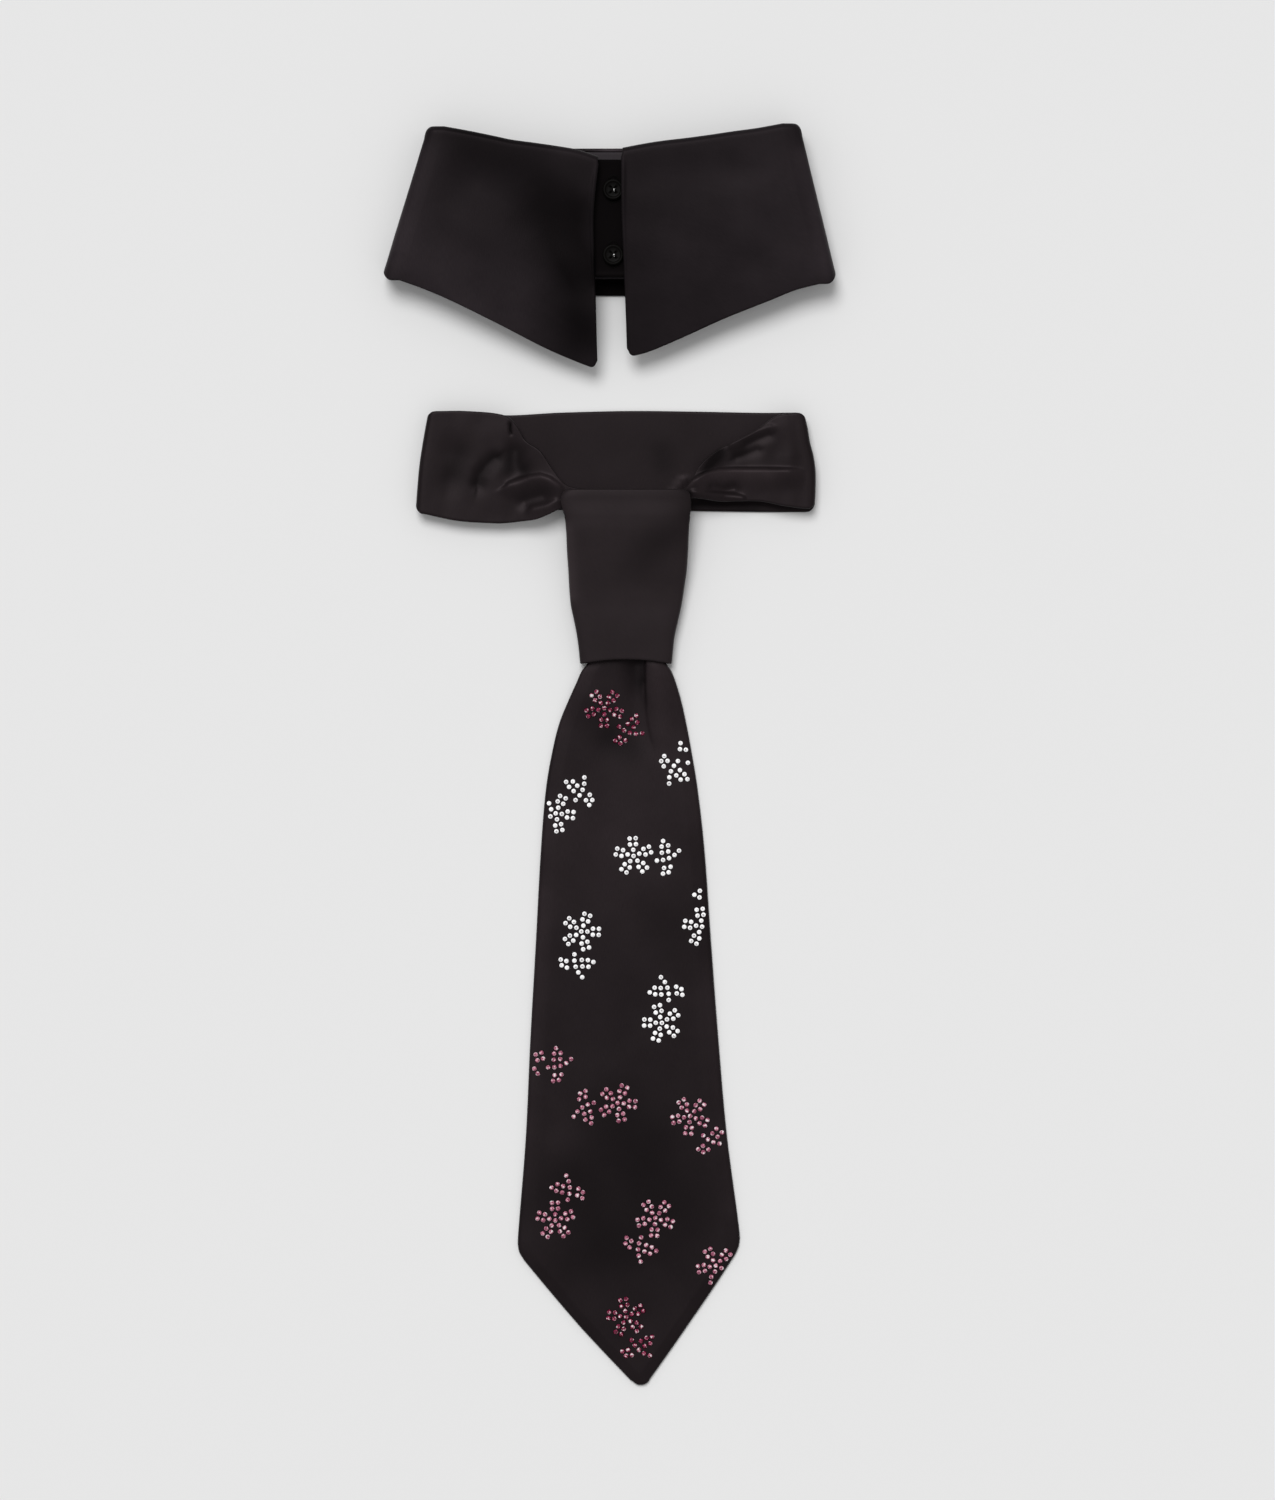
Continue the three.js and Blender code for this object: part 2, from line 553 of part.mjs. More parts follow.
function neckBand() {
  const arm = steps(16);
  const folds = steps(6).slice(1, -1);
  const columns = [
    ...arm.map((out) => ({ side: -1, out, turn: 0 })),
    ...folds.map((t) => ({ side: -1, turn: t * Math.PI })),
    ...steps(8).map((t) => ({ side: t < 0.5 ? -1 : 1, behind: t, turn: Math.PI })),
    ...folds.toReversed().map((t) => ({ side: 1, turn: t * Math.PI })),
    ...arm.toReversed().map((out) => ({ side: 1, out, turn: 0 })),
  ];
  const middle = columns.map((column) => steps(11).map((across) => bandPoint(column, across)));
  return cloth(middle, BAND.cloth);
}

// The knot: a flattened tube of cloth, open above for the arms and below for the blade.
function knotPoint(turn, down) {
  const square = (v) => Math.sign(v) * Math.abs(v) ** (2 / KNOT_SQUARE);
  const [c, s] = [Math.cos(turn), Math.sin(turn)];
  const top = -KNOT.notch * (1 - smooth((Math.abs(s) - KNOT_NOTCH.from) / KNOT_NOTCH.over));
  const hemY = -KNOT.length + KNOT.bow * (1 - Math.abs(square(c)) ** 2);
  const y = mix(top, hemY, down);
  const share = -y / KNOT.length;
  const half = KNOT.half * read(KNOT_ROWS, "down", share, "half") - KNOT.wall / 2;
  const under = knotUnder * read(KNOT_ROWS, "down", share, "under") + KNOT.wall / 2;
  const depth = KNOT.depth * read(KNOT_ROWS, "down", share, "depth") - KNOT.wall;
  const middle = KNOT.axis + KNOT.half * read(KNOT_ROWS, "down", share, "lean");
  return new THREE.Vector3(middle + half * square(c), y, under + (depth / 2) * (1 + square(s)));
}
function tieKnot() {
  const sides = 32;
  const turns = Array.from({ length: sides }, (_, i) => (-i / sides) * 2 * Math.PI);
  const rows = [0, 0.03, 0.065, ...steps(10).slice(1)];
  return cloth(turns.map((turn) => rows.map((down) => knotPoint(turn, down))), KNOT.wall, true);
}

// The rows of the blade from inside the knot to the tip: distance below the knot, half width and middle.
function bladeRows() {
  const straight = (run) => ({
    run,
    half: BLADE.half * read(BLADE_ROWS, "down", run / BLADE.side, "half"),
    middle: BLADE.tipLean * read(BLADE_ROWS, "down", run / BLADE.side, "lean"),
  });
  const last = straight(BLADE.side);
  const slope = Math.atan2(BLADE.half, BLADE.length - BLADE.side);
  const sharp = BLADE.length + BLADE.tipRound * (1 / Math.sin(slope) - 1);
  const pointed = (run) => {
    const t = (run - BLADE.side) / (sharp - BLADE.side);
    const half = last.half * (1 - t) + BLADE.bulge * Math.sin(t * Math.PI);
    return { run, half, middle: mix(last.middle, BLADE.tipLean, t) };
  };
  const cut = BLADE.cornerRound;
  const touch = Math.PI / 2 - slope;
  const tipArc = [1, 0.68, 0.36, 0.06].map((share) => ({
    run: BLADE.length - BLADE.tipRound * (1 - Math.cos(share * touch)),
    half: BLADE.tipRound * Math.sin(share * touch),
    middle: BLADE.tipLean,
  }));
  const corner = { ...last, half: last.half - cut * BLADE.cornerCut };
  return [
    ...steps(2).slice(0, -1).map((t) => ({ ...straight(0), run: -BLADE.tuck * (1 - t) })),
    ...[0, 0.012, 0.03, 0.062, 0.1, 0.143].map((t) => straight(t * BLADE.side)),
    ...steps(8).slice(1).map((t) => straight(mix(0.143 * BLADE.side, BLADE.side - cut, t))),
    corner,
    ...steps(4).slice(0, -1).map((t) => pointed(mix(BLADE.side + cut, tipArc[0].run, t))),
    ...tipArc,
  ];
}

// The blade: a padded panel with rolled edges, a pleat that opens below the knot, and a point.
function tieBlade() {
  const across = [-1, -0.985, -0.93, -0.72, -0.45, -0.2, 0, 0.1, 0.2, 0.28, 0.45, 0.72, 0.93, 0.985, 1];
  const rows = bladeRows();
  const points = [];
  for (const face of [true, false]) {
    for (const { run, half, middle } of rows) {
      const skew = BLADE.skew * smooth(run / BLADE.side) * Math.min(1, half / (BLADE.half / 2));
      for (const share of across) {
        const x = share * half;
        const y = -KNOT.length - run + share * skew;
        points.push(new THREE.Vector3(KNOT.axis + middle + x, y, bladeHeight(run, share, x, half, face)));
      }
    }
  }
  const wide = across.length;
  const tall = rows.length;
  const at = (side, r, c) => side * wide * tall + r * wide + c;
  const faces = [];
  for (let r = 0; r < tall - 1; r++) {
    for (let c = 0; c < wide - 1; c++) {
      faces.push([at(0, r, c), at(0, r + 1, c), at(0, r + 1, c + 1), at(0, r, c + 1)]);
      faces.push([at(1, r, c), at(1, r, c + 1), at(1, r + 1, c + 1), at(1, r + 1, c)]);
    }
    faces.push([at(0, r, 0), at(1, r, 0), at(1, r + 1, 0), at(0, r + 1, 0)]);
    faces.push([at(0, r, wide - 1), at(0, r + 1, wide - 1), at(1, r + 1, wide - 1), at(1, r, wide - 1)]);
  }
  for (let c = 0; c < wide - 1; c++) {
    faces.push([at(0, 0, c), at(0, 0, c + 1), at(1, 0, c + 1), at(1, 0, c)]);
    faces.push([at(1, tall - 1, c), at(1, tall - 1, c + 1), at(0, tall - 1, c + 1), at(0, tall - 1, c)]);
  }
  return meshOf(points, faces);
}

// The height of the blade's face or back at a place. It comes out of the knot a little above the table.
function bladeHeight(run, share, x, half, face) {
  const settled = smooth(run / BLADE.settle);
  const base = (KNOT.wall + 2 * SEAT) * (1 - settled);
  const thick = mix(BLADE.thickInKnot, BLADE.thick, settled);
  const inward = Math.min(1, ((1 - Math.abs(share)) * half) / BLADE.edgeRoll);
  const rolled = (thick / 2) * (1 - Math.sqrt(1 - (1 - inward) ** 2));
  if (!face) return base + rolled * BLADE.underRoll;
  const open = run > 0 ? 1 - smooth(run / PLEAT.reach) : PLEAT.inKnot;
  const past = x - PLEAT.across - PLEAT.lean * Math.max(0, run);
  const step = PLEAT.step * open * smooth(past / PLEAT.ramp + 1) * (1 - smooth(past / PLEAT.width));
  const away = Math.hypot(x - DENT.across, run - DENT.down) / DENT.spread;
  const dent = run > 0 ? DENT.depth * Math.exp(-(away ** 2)) : 0;
  return base + thick - rolled + step - dent;
}

// Puts the pieces together.
function piece(name, geometry, material) {
  const mesh = new THREE.Mesh(geometry, material);
  mesh.name = name;
  return mesh;
}

const collar = new THREE.Group();
collar.add(piece("collar_fall", collarFall(), crepe), piece("collar_stand", collarStand(), crepe));
["upper", "lower"].forEach((which, n) => {
  const disc = piece("button_" + which, button(), resin);
  disc.position.set(BUTTON.line, buttonRows[n], buttonZ);
  const stitch = piece("button_thread_" + which, shank(), thread);
  stitch.position.set(BUTTON.line, buttonRows[n], 0);
  collar.add(disc, stitch);
});

const tie = new THREE.Group();
tie.add(piece("neck_band", neckBand(), satin));
tie.add(piece("tie_knot", tieKnot(), satin));
tie.add(piece("tie_blade", tieBlade(), satin));
tie.position.set(TIE_SHIFT, -(COLLAR.pointLeft + PIECE_GAP + BAND.top), 0);

const set = new THREE.Group();
set.add(collar, tie);
set.updateMatrixWorld(true);
const covered = new THREE.Box3().setFromObject(set);
const middleOf = covered.getCenter(new THREE.Vector3());
set.position.set(-middleOf.x, -middleOf.y, -covered.min.z);

const part = new THREE.Group();
part.add(set);

export default part;
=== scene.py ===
# The looks of a bib collar and necktie that lie flat and face up.
# Lengths are millimetres until a mesh is made.
import math
from types import SimpleNamespace

import bpy
import numpy as np
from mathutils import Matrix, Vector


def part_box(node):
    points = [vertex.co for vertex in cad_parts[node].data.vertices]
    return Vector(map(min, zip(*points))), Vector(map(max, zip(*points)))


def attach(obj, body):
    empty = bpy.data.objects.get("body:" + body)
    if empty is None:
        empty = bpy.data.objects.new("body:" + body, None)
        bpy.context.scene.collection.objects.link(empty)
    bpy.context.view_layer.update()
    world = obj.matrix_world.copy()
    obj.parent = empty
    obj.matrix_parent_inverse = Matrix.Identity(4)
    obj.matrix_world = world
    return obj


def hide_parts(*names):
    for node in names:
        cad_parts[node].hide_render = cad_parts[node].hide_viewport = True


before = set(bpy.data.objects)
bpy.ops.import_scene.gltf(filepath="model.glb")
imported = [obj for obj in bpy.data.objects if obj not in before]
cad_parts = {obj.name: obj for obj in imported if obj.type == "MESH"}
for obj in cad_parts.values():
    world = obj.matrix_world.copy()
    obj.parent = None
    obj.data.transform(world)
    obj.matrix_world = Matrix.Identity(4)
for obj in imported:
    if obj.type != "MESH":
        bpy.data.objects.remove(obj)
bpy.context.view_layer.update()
MM = 0.001

# Sizes of the collar, as in the solids. Its x is 0 in the middle and its y is 0 at the top of the back.
COLLAR = SimpleNamespace(
    cloth=1.5, neck={-1: 88.9, 1: 91.8}, hem_side={-1: 108.8, 1: 108.2}, side_round=3.4,
    gap_depth=6.6, neck_dip=11, neck_round=1.8, point={-1: 107, 1: 101.2},
    side_depth=62.6, back_depth=70.8, stand_depth=62.9, leaf_gap=13.4,
    corner_round=3.2, neck_space=7, back_ply=0.6, point_droop=5.2, lap=24,
    bare_rim=0.4, seam=1, rim=0.75, corner_slant=1.6, gap_half={-1: 7.4, 1: 6.4},
)
BUTTON = SimpleNamespace(thick=2.1, line=1.4, first=21.2, pitch=31.2, hole=0.55, hole_out=1.05)
HOLE = SimpleNamespace(length=11.5, width=2.4, above=6.2, stitch=0.42)
# The air between pieces that lie on each other, and how far the tie lies right of the collar.
SEAT = 0.3
TIE_SHIFT = 2.4

# Sizes of the tie. Its y is 0 at the knot's top edge and its x is 0 in the middle of the neck band.
BAND = SimpleNamespace(
    cloth=1.4, half=95.8, top=37, bottom=-10.2, corner_round=3, space=6,
    arm_end={-1: -4, 1: 15}, rim=0.7,
)
KNOT = SimpleNamespace(
    wall=1.7, axis=5.5, half=31.7, length=83.5, depth=10.6, notch=12.5,
    arm_level=0.44, bow=2.1, squareness=4.6, rim=0.85,
)
BLADE = SimpleNamespace(
    thick=3, thick_in_knot=2.4, length=346.8, half=52.7, side=281.5, tip_lean=6.9,
    skew=1.4, bulge=1.1, corner=4, cut=0.22, tip=5, tuck=30, settle=32,
    rim=1.5, under=0.35, soft_edge=7, edge_share=0.72,
)
# The pleat below the knot: a step up to the right of a bent line, and a valley to its left.
PLEAT = SimpleNamespace(line=8.9, bend=0.004, length=50, hidden=12)
STEP = SimpleNamespace(height=1.7, edge=1.3, flat=4, fade=22)
VALLEY = SimpleNamespace(depth=1.7, away=4.2, width=5.4)
SHOULDER = SimpleNamespace(height=0.5, across=-15, width=9, length=60, start=6, rise=12)
DENT = SimpleNamespace(depth=0.7, across=-2, down=36, width=16, length=12)


def table(names, *rows):
    """A table with named columns."""
    return {name: np.array([row[k] for row in rows], float) for k, name in enumerate(names.split())}


def strokes(*rows):
    """Folds or tones. A row has a height, its widths left and right of a line, and the line's places."""
    return [SimpleNamespace(height=row[0], left=row[1], right=row[2], line=row[3:]) for row in rows]


TOP_EDGE = table(
    "across left right",
    (0, -0.46, -0.1),
    (0.12, -0.2, 0.06),
    (0.25, -0.045, 0.2),
    (0.4, 0.1, 0.32),
    (0.56, 0.245, 0.47),
    (0.67, 0.4, 0.585),
    (0.84, 0.63, 0.745),
    (1, 0.82, 0.945),
)
INNER_EDGE = table(
    "down left right",
    (0, 0.47, 0.46),
    (0.25, 0.655, 0.47),
    (0.5, 0.62, 0.53),
    (0.75, 0.54, 0.58),
    (1, 0.48, 0.63),
)
HEM_EDGE = table(
    "across left right sag",
    (0, 0, 0, 1),
    (0.1, 0.08, 0.058, 0.92),
    (0.25, 0.216, 0.204, 0.8),
    (0.5, 0.485, 0.47, 0.6),
    (0.75, 0.743, 0.704, 0.5),
    (0.875, 0.857, 0.824, 0.5),
    (1, 0.953, 0.9, 0.5),
)
BAND_ENDS = table(
    "across left right",
    (0, 0.9415, 0.952),
    (0.15, 0.953, 0.965),
    (0.3, 0.965, 0.976),
    (0.45, 0.977, 0.994),
    (0.6, 0.986, 1.004),
    (0.8, 0.994, 1.004),
    (1, 1, 1),
)
BAND_BACK = table(
    "behind upper lower",
    (0, 1.01, 0.96),
    (0.2, 0.978, 0.94),
    (0.34, 1.012, 0.925),
    (0.54, 1.034, 0.925),
    (0.73, 1.025, 0.98),
    (0.9, 1.01, 1.02),
    (1, 1.014, 1.02),
)
LEFT_ARM = table(
    "along upper lower",
    (0, 1.02, 1.15),
    (0.18, 1.02, 1.47),
    (0.4, 0.965, 1.59),
    (0.47, 0.84, 1.56),
    (0.52, 0.65, 1.51),
    (0.61, 0.5, 1.41),
    (0.68, 0.27, 1.19),
    (0.75, 0.08, 0.9),
    (0.82, 0.02, 0.8),
    (1, 0, 0.78),
)
RIGHT_ARM = table(
    "along upper lower",
    (0, 1, 0.9),
    (0.14, 0.95, 0.76),
    (0.28, 0.76, 0.56),
    (0.42, 0.62, 0.54),
    (0.54, 0.5, 0.56),
    (0.65, 0.3, 0.45),
    (0.72, 0.06, 0.42),
    (0.8, -0.06, 0.55),
    (1, -0.1, 0.6),
)
KNOT_ROWS = table(
    "down half lean under depth",
    (0, 0.93, -0.01, 1, 0.96),
    (0.035, 1.002, -0.012, 1, 0.985),
    (0.07, 1.014, -0.012, 1, 0.99),
    (0.12, 0.985, 0.002, 1, 1),
    (0.16, 0.95, 0.01, 1, 1),
    (0.24, 0.928, 0.012, 0.93, 1),
    (0.34, 0.918, 0.012, 0.55, 1.08),
    (0.46, 0.898, 0.012, 0.15, 1.16),
    (0.56, 0.872, 0, 0.02, 1.08),
    (0.66, 0.84, -0.009, 0, 1),
    (0.75, 0.789, -0.01, 0, 0.96),
    (0.84, 0.74, -0.014, 0, 0.92),
    (0.93, 0.712, -0.012, 0, 0.86),
    (1, 0.695, -0.012, 0, 0.82),
)
BLADE_ROWS = table(
    "down half lean",
    (0, 0.362, 0),
    (0.012, 0.41, -0.02),
    (0.03, 0.45, -0.04),
    (0.062, 0.514, -0.14),
    (0.1, 0.578, -0.28),
    (0.143, 0.629, -0.34),
    (0.21, 0.69, -0.355),
    (0.314, 0.745, -0.295),
    (0.477, 0.8, -0.24),
    (0.641, 0.858, -0.18),
    (0.805, 0.9166, -0.045),
    (0.9685, 1.008, 0.125),
    (1, 1.018, 0.15),
)

# Folds pressed into the cloth. Each is a crest or, with a negative height, a hollow.
ARM_FOLDS = strokes(
    (1.5, 1.5, 4.4, (-50.5, 2.1), (-45.6, 3.7), (-40.8, 5.2), (-35.7, 5.8), (-31.7, 4.5),
     (-27.5, 1.6), (-25, -1.2)),
    (-1.3, 4, 4, (-43, -5.4), (-39, -4), (-35, -2.8)),
    (1, 1.6, 3, (-39, -9.5), (-33.3, -8.2), (-28.3, -6.2)),
    (-0.8, 4.6, 3.2, (-58, 15), (-61.8, 11.5), (-65, 7.2), (-66, 2.9)),
    (-0.8, 4.5, 4.5, (-48, 18), (-47.6, 13.6), (-46, 9.4)),
    (-0.6, 10, 10, (-78.7, 15.8), (-80.6, 7.2)),
    (-0.9, 0.7, 0.7, (-50.5, 31.6), (-50.2, 27)),
    (1.9, 1.5, 6, (34, -0.5), (37.9, 3.8), (43.4, 6.5), (49.7, 8.2), (57, 8.6), (70, 8.6),
     (81, 8.5), (90, 8.4)),
    (-2, 3.2, 3.4, (46.6, 1.4), (52.3, 0), (56.6, 1)),
    (1.1, 1.2, 1.8, (37, -1.4), (43.2, -2.4), (51.4, -2.7), (57.6, -3.4), (60.8, -4.1)),
    (0.6, 1.2, 2.6, (56, 22), (60, 24.4), (66, 27), (74, 30)),
    (-0.7, 2.2, 3, (63, 22), (68, 24.5), (73, 26.5)),
    (-0.5, 2, 2.6, (58, 15.5), (64, 17.5), (68, 19)),
    (0.5, 4, 6, (84, 30), (86, 18), (85, 12)),
)
LEAF_FOLDS = strokes(
    (-1.6, 19, 15, (-82, -8), (-60, -15), (-42, -25), (-28, -37), (-17, -52), (-12, -62)),
    (1.2, 20, 24, (-84, -38), (-66, -54), (-46, -68)),
    (0.9, 6, 8, (-20, -7), (-12, -22)),
    (-1, 12, 12, (-30, -86), (-10, -98)),
    (-0.8, 9, 12, (22, -8), (38, -8), (58, -9)),
    (0.6, 14, 14, (16, -26), (18, -44)),
    (0.5, 16, 18, (62, -26), (86, -34)),
    (-0.7, 14, 14, (26, -74), (46, -70)),
    (-0.4, 9, 9, (66, -56), (78, -52)),
)
BACK_FOLDS = strokes(
    (0.5, 1.3, 2.2, (28, -1), (32.6, 5.3)),
    (-0.4, 9, 9, (6, 22), (2, 8)),
)

# Painted light and shade: how much lighter or darker the cloth's colour is painted along some lines, as a
# share of its colour.
LEAF_PAINTED_SHADING = strokes(
    (-0.62, 13, 14, (-68, 3), (-52, -3), (-36, -10), (-26, -27), (-20, -44), (-16, -63),
     (-15, -92)),
    (-0.5, 11, 11, (-38, -34), (-24, -50), (-13, -58)),
    (-0.15, 11, 11, (-12, -62), (-12, -80)),
    (-0.4, 9, 9, (-14, -10), (-13, -20), (-13, -34)),
    (0.4, 6, 5, (-22, 0), (-12, -3)),
    (0.75, 15, 15, (-98, -46), (-90, -58), (-72, -70), (-50, -80)),
    (0.7, 8, 8, (-91, -4), (-97, -24), (-105, -54)),
    (-0.22, 14, 14, (-76, -24), (-56, -34)),
    (-0.2, 12, 12, (7, -12), (7, -90)),
    (-0.24, 12, 12, (8, -25), (46, -27)),
    (-0.12, 6, 6, (20, -5), (56, -6)),
    (0.3, 24, 24, (60, -38), (74, -62)),
    (0.3, 16, 16, (84, -16), (92, -54)),
    (0.9, 6, 6, (94, -6), (99, -24), (105, -58)),
    (-0.12, 12, 12, (24, -80), (44, -74)),
    (-0.12, 7, 7, (66, -52), (74, -55)),
)
ARM_PAINTED_SHADING = strokes(
    (-0.45, 6, 6, (-43, -5), (-36, -2.4)),
    (-0.75, 4.4, 3.8, (-58.5, 14), (-62.4, 10), (-65.4, 3)),
    (-0.75, 5.4, 5.4, (-48, 17), (-47.5, 10), (-45, 9.6)),
    (-0.6, 7, 7, (-74.5, 17), (-76.5, 10)),
    (-0.75, 0.8, 0.8, (-50.3, 32), (-50, 27)),
    (0.5, 0.9, 0.9, (-48, 2.8), (-40.8, 5.4), (-35.7, 6), (-31.7, 4.7), (-27.5, 1.8)),
    (0.5, 5, 5, (-38, -13), (-32, -11)),
    (-0.2, 10, 10, (-30, 21), (40, 24)),
    (-0.45, 6, 6, (22, 18), (23, 12)),
    (-0.75, 1.7, 2.8, (36, -1), (38.6, 3), (42, 8), (46, 14), (50, 18)),
    (-0.35, 5, 5, (43, 11), (50, 15), (60, 17)),
    (-0.35, 8, 4, (60, 14.5), (68, 15.5), (80, 15)),
    (0.9, 1, 6, (40, 5), (43.4, 6.7), (49.7, 8.4), (57, 8.8), (72, 8.6)),
    (0.4, 1, 3.6, (74, 8.6), (88, 8.6)),
    (-0.25, 3.4, 3.4, (46.6, 1.4), (52.3, 0), (56.6, 1)),
    (-0.25, 3, 3, (64, 22), (74, 26)),
    (-0.4, 4.5, 4.5, (-55, 15), (-53, 10)),
    (-0.2, 8, 8, (-86, 4), (-66, 3)),
    (0.2, 6, 6, (-46, 2), (-28, 4)),
    (0.2, 6, 6, (34, 4), (42, 3), (62, 3)),
)
BACK_PAINTED_SHADE = strokes(
    (-0.75, 3.2, 3.2, (37, -6), (50, -7), (67, -8.5)),
)
KNOT_PAINTED_SHADING = strokes(
    (-0.33, 9, 9, (36, -12), (24, -22), (12, -34)),
    (-0.33, 5, 5, (-24, 0), (34, 0)),
    (0.9, 4, 4, (-24, -20), (-22, -50)),
    (0.1, 14, 14, (-6, -28), (6, -48)),
)
BLADE_PAINTED_SHADING = strokes(
    (-0.95, 1.6, 6.5, (12.4, -80), (12.8, -91)),
    (-0.4, 1.2, 3, (14, -92), (14.8, -102)),
    (-0.2, 6, 6, (-4, -82), (6, -82)),
    (0.7, 6, 6, (-14, -84), (-22, -96), (-30, -112)),
    (0.45, 5, 5, (20, -84), (22, -126)),
    (0.6, 9, 9, (26, -88), (34, -120), (42, -156)),
    (-0.75, 8, 8, (-2, -119), (7, -124)),
    (0.3, 18, 18, (10, -100), (14, -130), (10, -160)),
    (0.5, 26, 26, (-26, -166), (0, -178)),
    (-0.2, 15, 15, (22, -206), (36, -218)),
    (0.75, 7, 7, (-37, -196), (-46, -300), (-49, -330)),
    (0.4, 6, 6, (44, -230), (50, -290), (57, -345)),
    (0.35, 9, 9, (-26, -296), (-26, -310)),
    (-0.6, 24, 24, (6, -308), (24, -340)),
    (-0.55, 18, 18, (-24, -338), (-8, -358)),
    (-0.18, 14, 14, (-20, -372), (34, -372)),
)

# How close the steps of a mesh lie at the rounded rim of a cloth.
RIM_STEPS = np.array([0, 0.06, 0.2, 0.42, 0.7, 1])
BLADE_RIM_STEPS = np.array([0, 0.04, 0.15, 0.34, 0.62, 1]) * 0.03
# The least share of colour left where shade is painted darkest, and how much lighter the back is painted
# where the gap between the leaves shows it: painted light.
LEAST_PAINTED_SHADING = 0.1
GAP_PAINTED_LIGHT = 3.4


def mix(a, b, t):
    """The value that lies a share t of the way from a to b."""
    return a + (b - a) * t


def smooth(t):
    """Rises softly from 0 to 1 while t does."""
    c = np.clip(t, 0, 1)
    return c * c * (3 - 2 * c)


def ridge(where, middle, width):
    """A soft ridge, 1 at its middle."""
    return np.exp(-(((where - middle) / width) ** 2))


def read(rows, at, where, column):
    """The value of one column of a table, smoothly between its rows."""
    keys, values = rows[at], rows[column]
    where = np.clip(np.asarray(where, float), keys[0], keys[-1])
    i = np.clip(np.searchsorted(keys, where, side="right") - 1, 0, len(keys) - 2)
    ends = np.concatenate([[0], np.arange(len(keys)), [len(keys) - 1]])
    slope = (values[ends[2:]] - values[ends[:-2]]) / (keys[ends[2:]] - keys[ends[:-2]])
    span = keys[i + 1] - keys[i]
    t = (where - keys[i]) / span
    lead = t * (1 - t) ** 2 * slope[i] * span
    trail = t * t * (1 - t) * slope[i + 1] * span
    return mix(values[i], values[i + 1], t * t * (3 - 2 * t)) + lead - trail


def read_sides(side, rows, at, where):
    """The value of a table's left or right column, by the side."""
    return np.where(side < 0, read(rows, at, where, "left"), read(rows, at, where, "right"))


def fold_height(folds, x, y):
    """How high the folds lift the cloth at each place."""
    total = np.zeros_like(x)
    for fold in folds:
        line = np.array(fold.line, float)
        best, reach = np.full(x.shape, 1e9), np.ones(x.shape)
        for (ax, ay), (bx, by) in zip(line[:-1], line[1:]):
            dx, dy = bx - ax, by - ay
            t = np.clip(((x - ax) * dx + (y - ay) * dy) / (dx * dx + dy * dy), 0, 1)
            ex, ey = x - ax - t * dx, y - ay - t * dy
            away = np.hypot(ex, ey)
            left = (dx * ey - dy * ex) / math.hypot(dx, dy)
            spread = mix(fold.right, fold.left, smooth(left / 1.6 + 0.5))
            nearer = away < best
            best = np.where(nearer, away, best)
            reach = np.where(nearer, spread, reach)
        total += fold.height * np.exp(-((best / reach) ** 2))
    return total


def ripple(x, y, length, height, seed):
    """Slow unevenness of hand-laid cloth: a few crossed waves."""
    rng = np.random.default_rng(seed)
    total = np.zeros_like(x)
    for _ in range(7):
        turn, shift = rng.uniform(0, 2 * math.pi, 2)
        wave = length * rng.uniform(0.6, 1.7)
        total += np.sin((x * math.cos(turn) + y * math.sin(turn)) * 2 * math.pi / wave + shift)
    return height * total / 3


def shares(count, length, rim):
    """Shares from 0 to 1 along a length, close together near both ends so that an edge can be round."""
    near = RIM_STEPS * rim / length
    middle = np.linspace(near[-1], 1 - near[-1], count)
    return np.concatenate([near[:-1], middle, (1 - near[:-1])[::-1]])


def mesh_of(name, points, faces, uv=None, painted_shading=None):
    """A smooth piece from points in millimetres, with a place on its cloth and a share of painted light
    and shade for each of them.
    """
    mesh = bpy.data.meshes.new(name)
    mesh.from_pydata(np.asarray(points) * MM, [], [tuple(f) for f in faces])
    mesh.polygons.foreach_set("use_smooth", np.ones(len(mesh.polygons), bool))
    if uv is not None:
        layer = mesh.uv_layers.new(name="cloth")
        corner = np.empty(len(mesh.loops), int)
        mesh.loops.foreach_get("vertex_index", corner)
        layer.data.foreach_set("uv", np.asarray(uv, np.float32)[corner].ravel())
        shade = mesh.attributes.new("painted_shading", "FLOAT", "POINT")
        shade.data.foreach_set("value", np.asarray(painted_shading, np.float32))
    mesh.validate()
    piece = bpy.data.objects.new(name, mesh)
    bpy.context.scene.collection.objects.link(piece)
    return piece


def lengths(points, axis):
    """Distance along one direction of a grid from its first line."""
    step = np.linalg.norm(np.diff(points, axis=axis), axis=2)
    start = np.zeros_like(np.take(step, [0], axis=axis))
    return np.concatenate([start, np.cumsum(step, axis=axis)], axis=axis)


def round_edge(away, rim):
    """A quarter circle: 0 at an edge, 1 from a rim's width inwards."""
    return np.sqrt(np.maximum(1 - (1 - np.clip(away / rim, 0, 1)) ** 2, 0))


def closed_wall(name, top, under, border, uv, painted_shading, ring=False):
    """A closed wall from two grids that share their border. A ring joins its last column to its first."""
    wide, tall = border.shape
    count = wide * tall
    number = np.arange(count).reshape(wide, tall)
    below = np.where(border, number, number + count)
    used = np.unique(below[~border])
    renumber = np.arange(2 * count)
    renumber[used] = count + np.arange(len(used))
    below = renumber[below]
    rows = lambda grid: grid.reshape(count, -1)
    both = lambda one, other: np.concatenate([rows(one), rows(other)[used - count]])
    after = (lambda grid: np.roll(grid, -1, 0)) if ring else (lambda grid: grid[1:])
    until = (lambda grid: grid) if ring else (lambda grid: grid[:-1])
    faces = []
    for grid, turned in ((number, 1), (below, -1)):
        corners = [until(grid)[:, :-1], after(grid)[:, :-1], after(grid)[:, 1:], until(grid)[:, 1:]]
        corners = corners[:1] + corners[1:][::turned]
        faces.append(np.stack(corners, 2).reshape(-1, 4))
    return mesh_of(name, both(top, under), np.concatenate(faces), both(uv, uv), both(painted_shading, painted_shading)[:, 0])


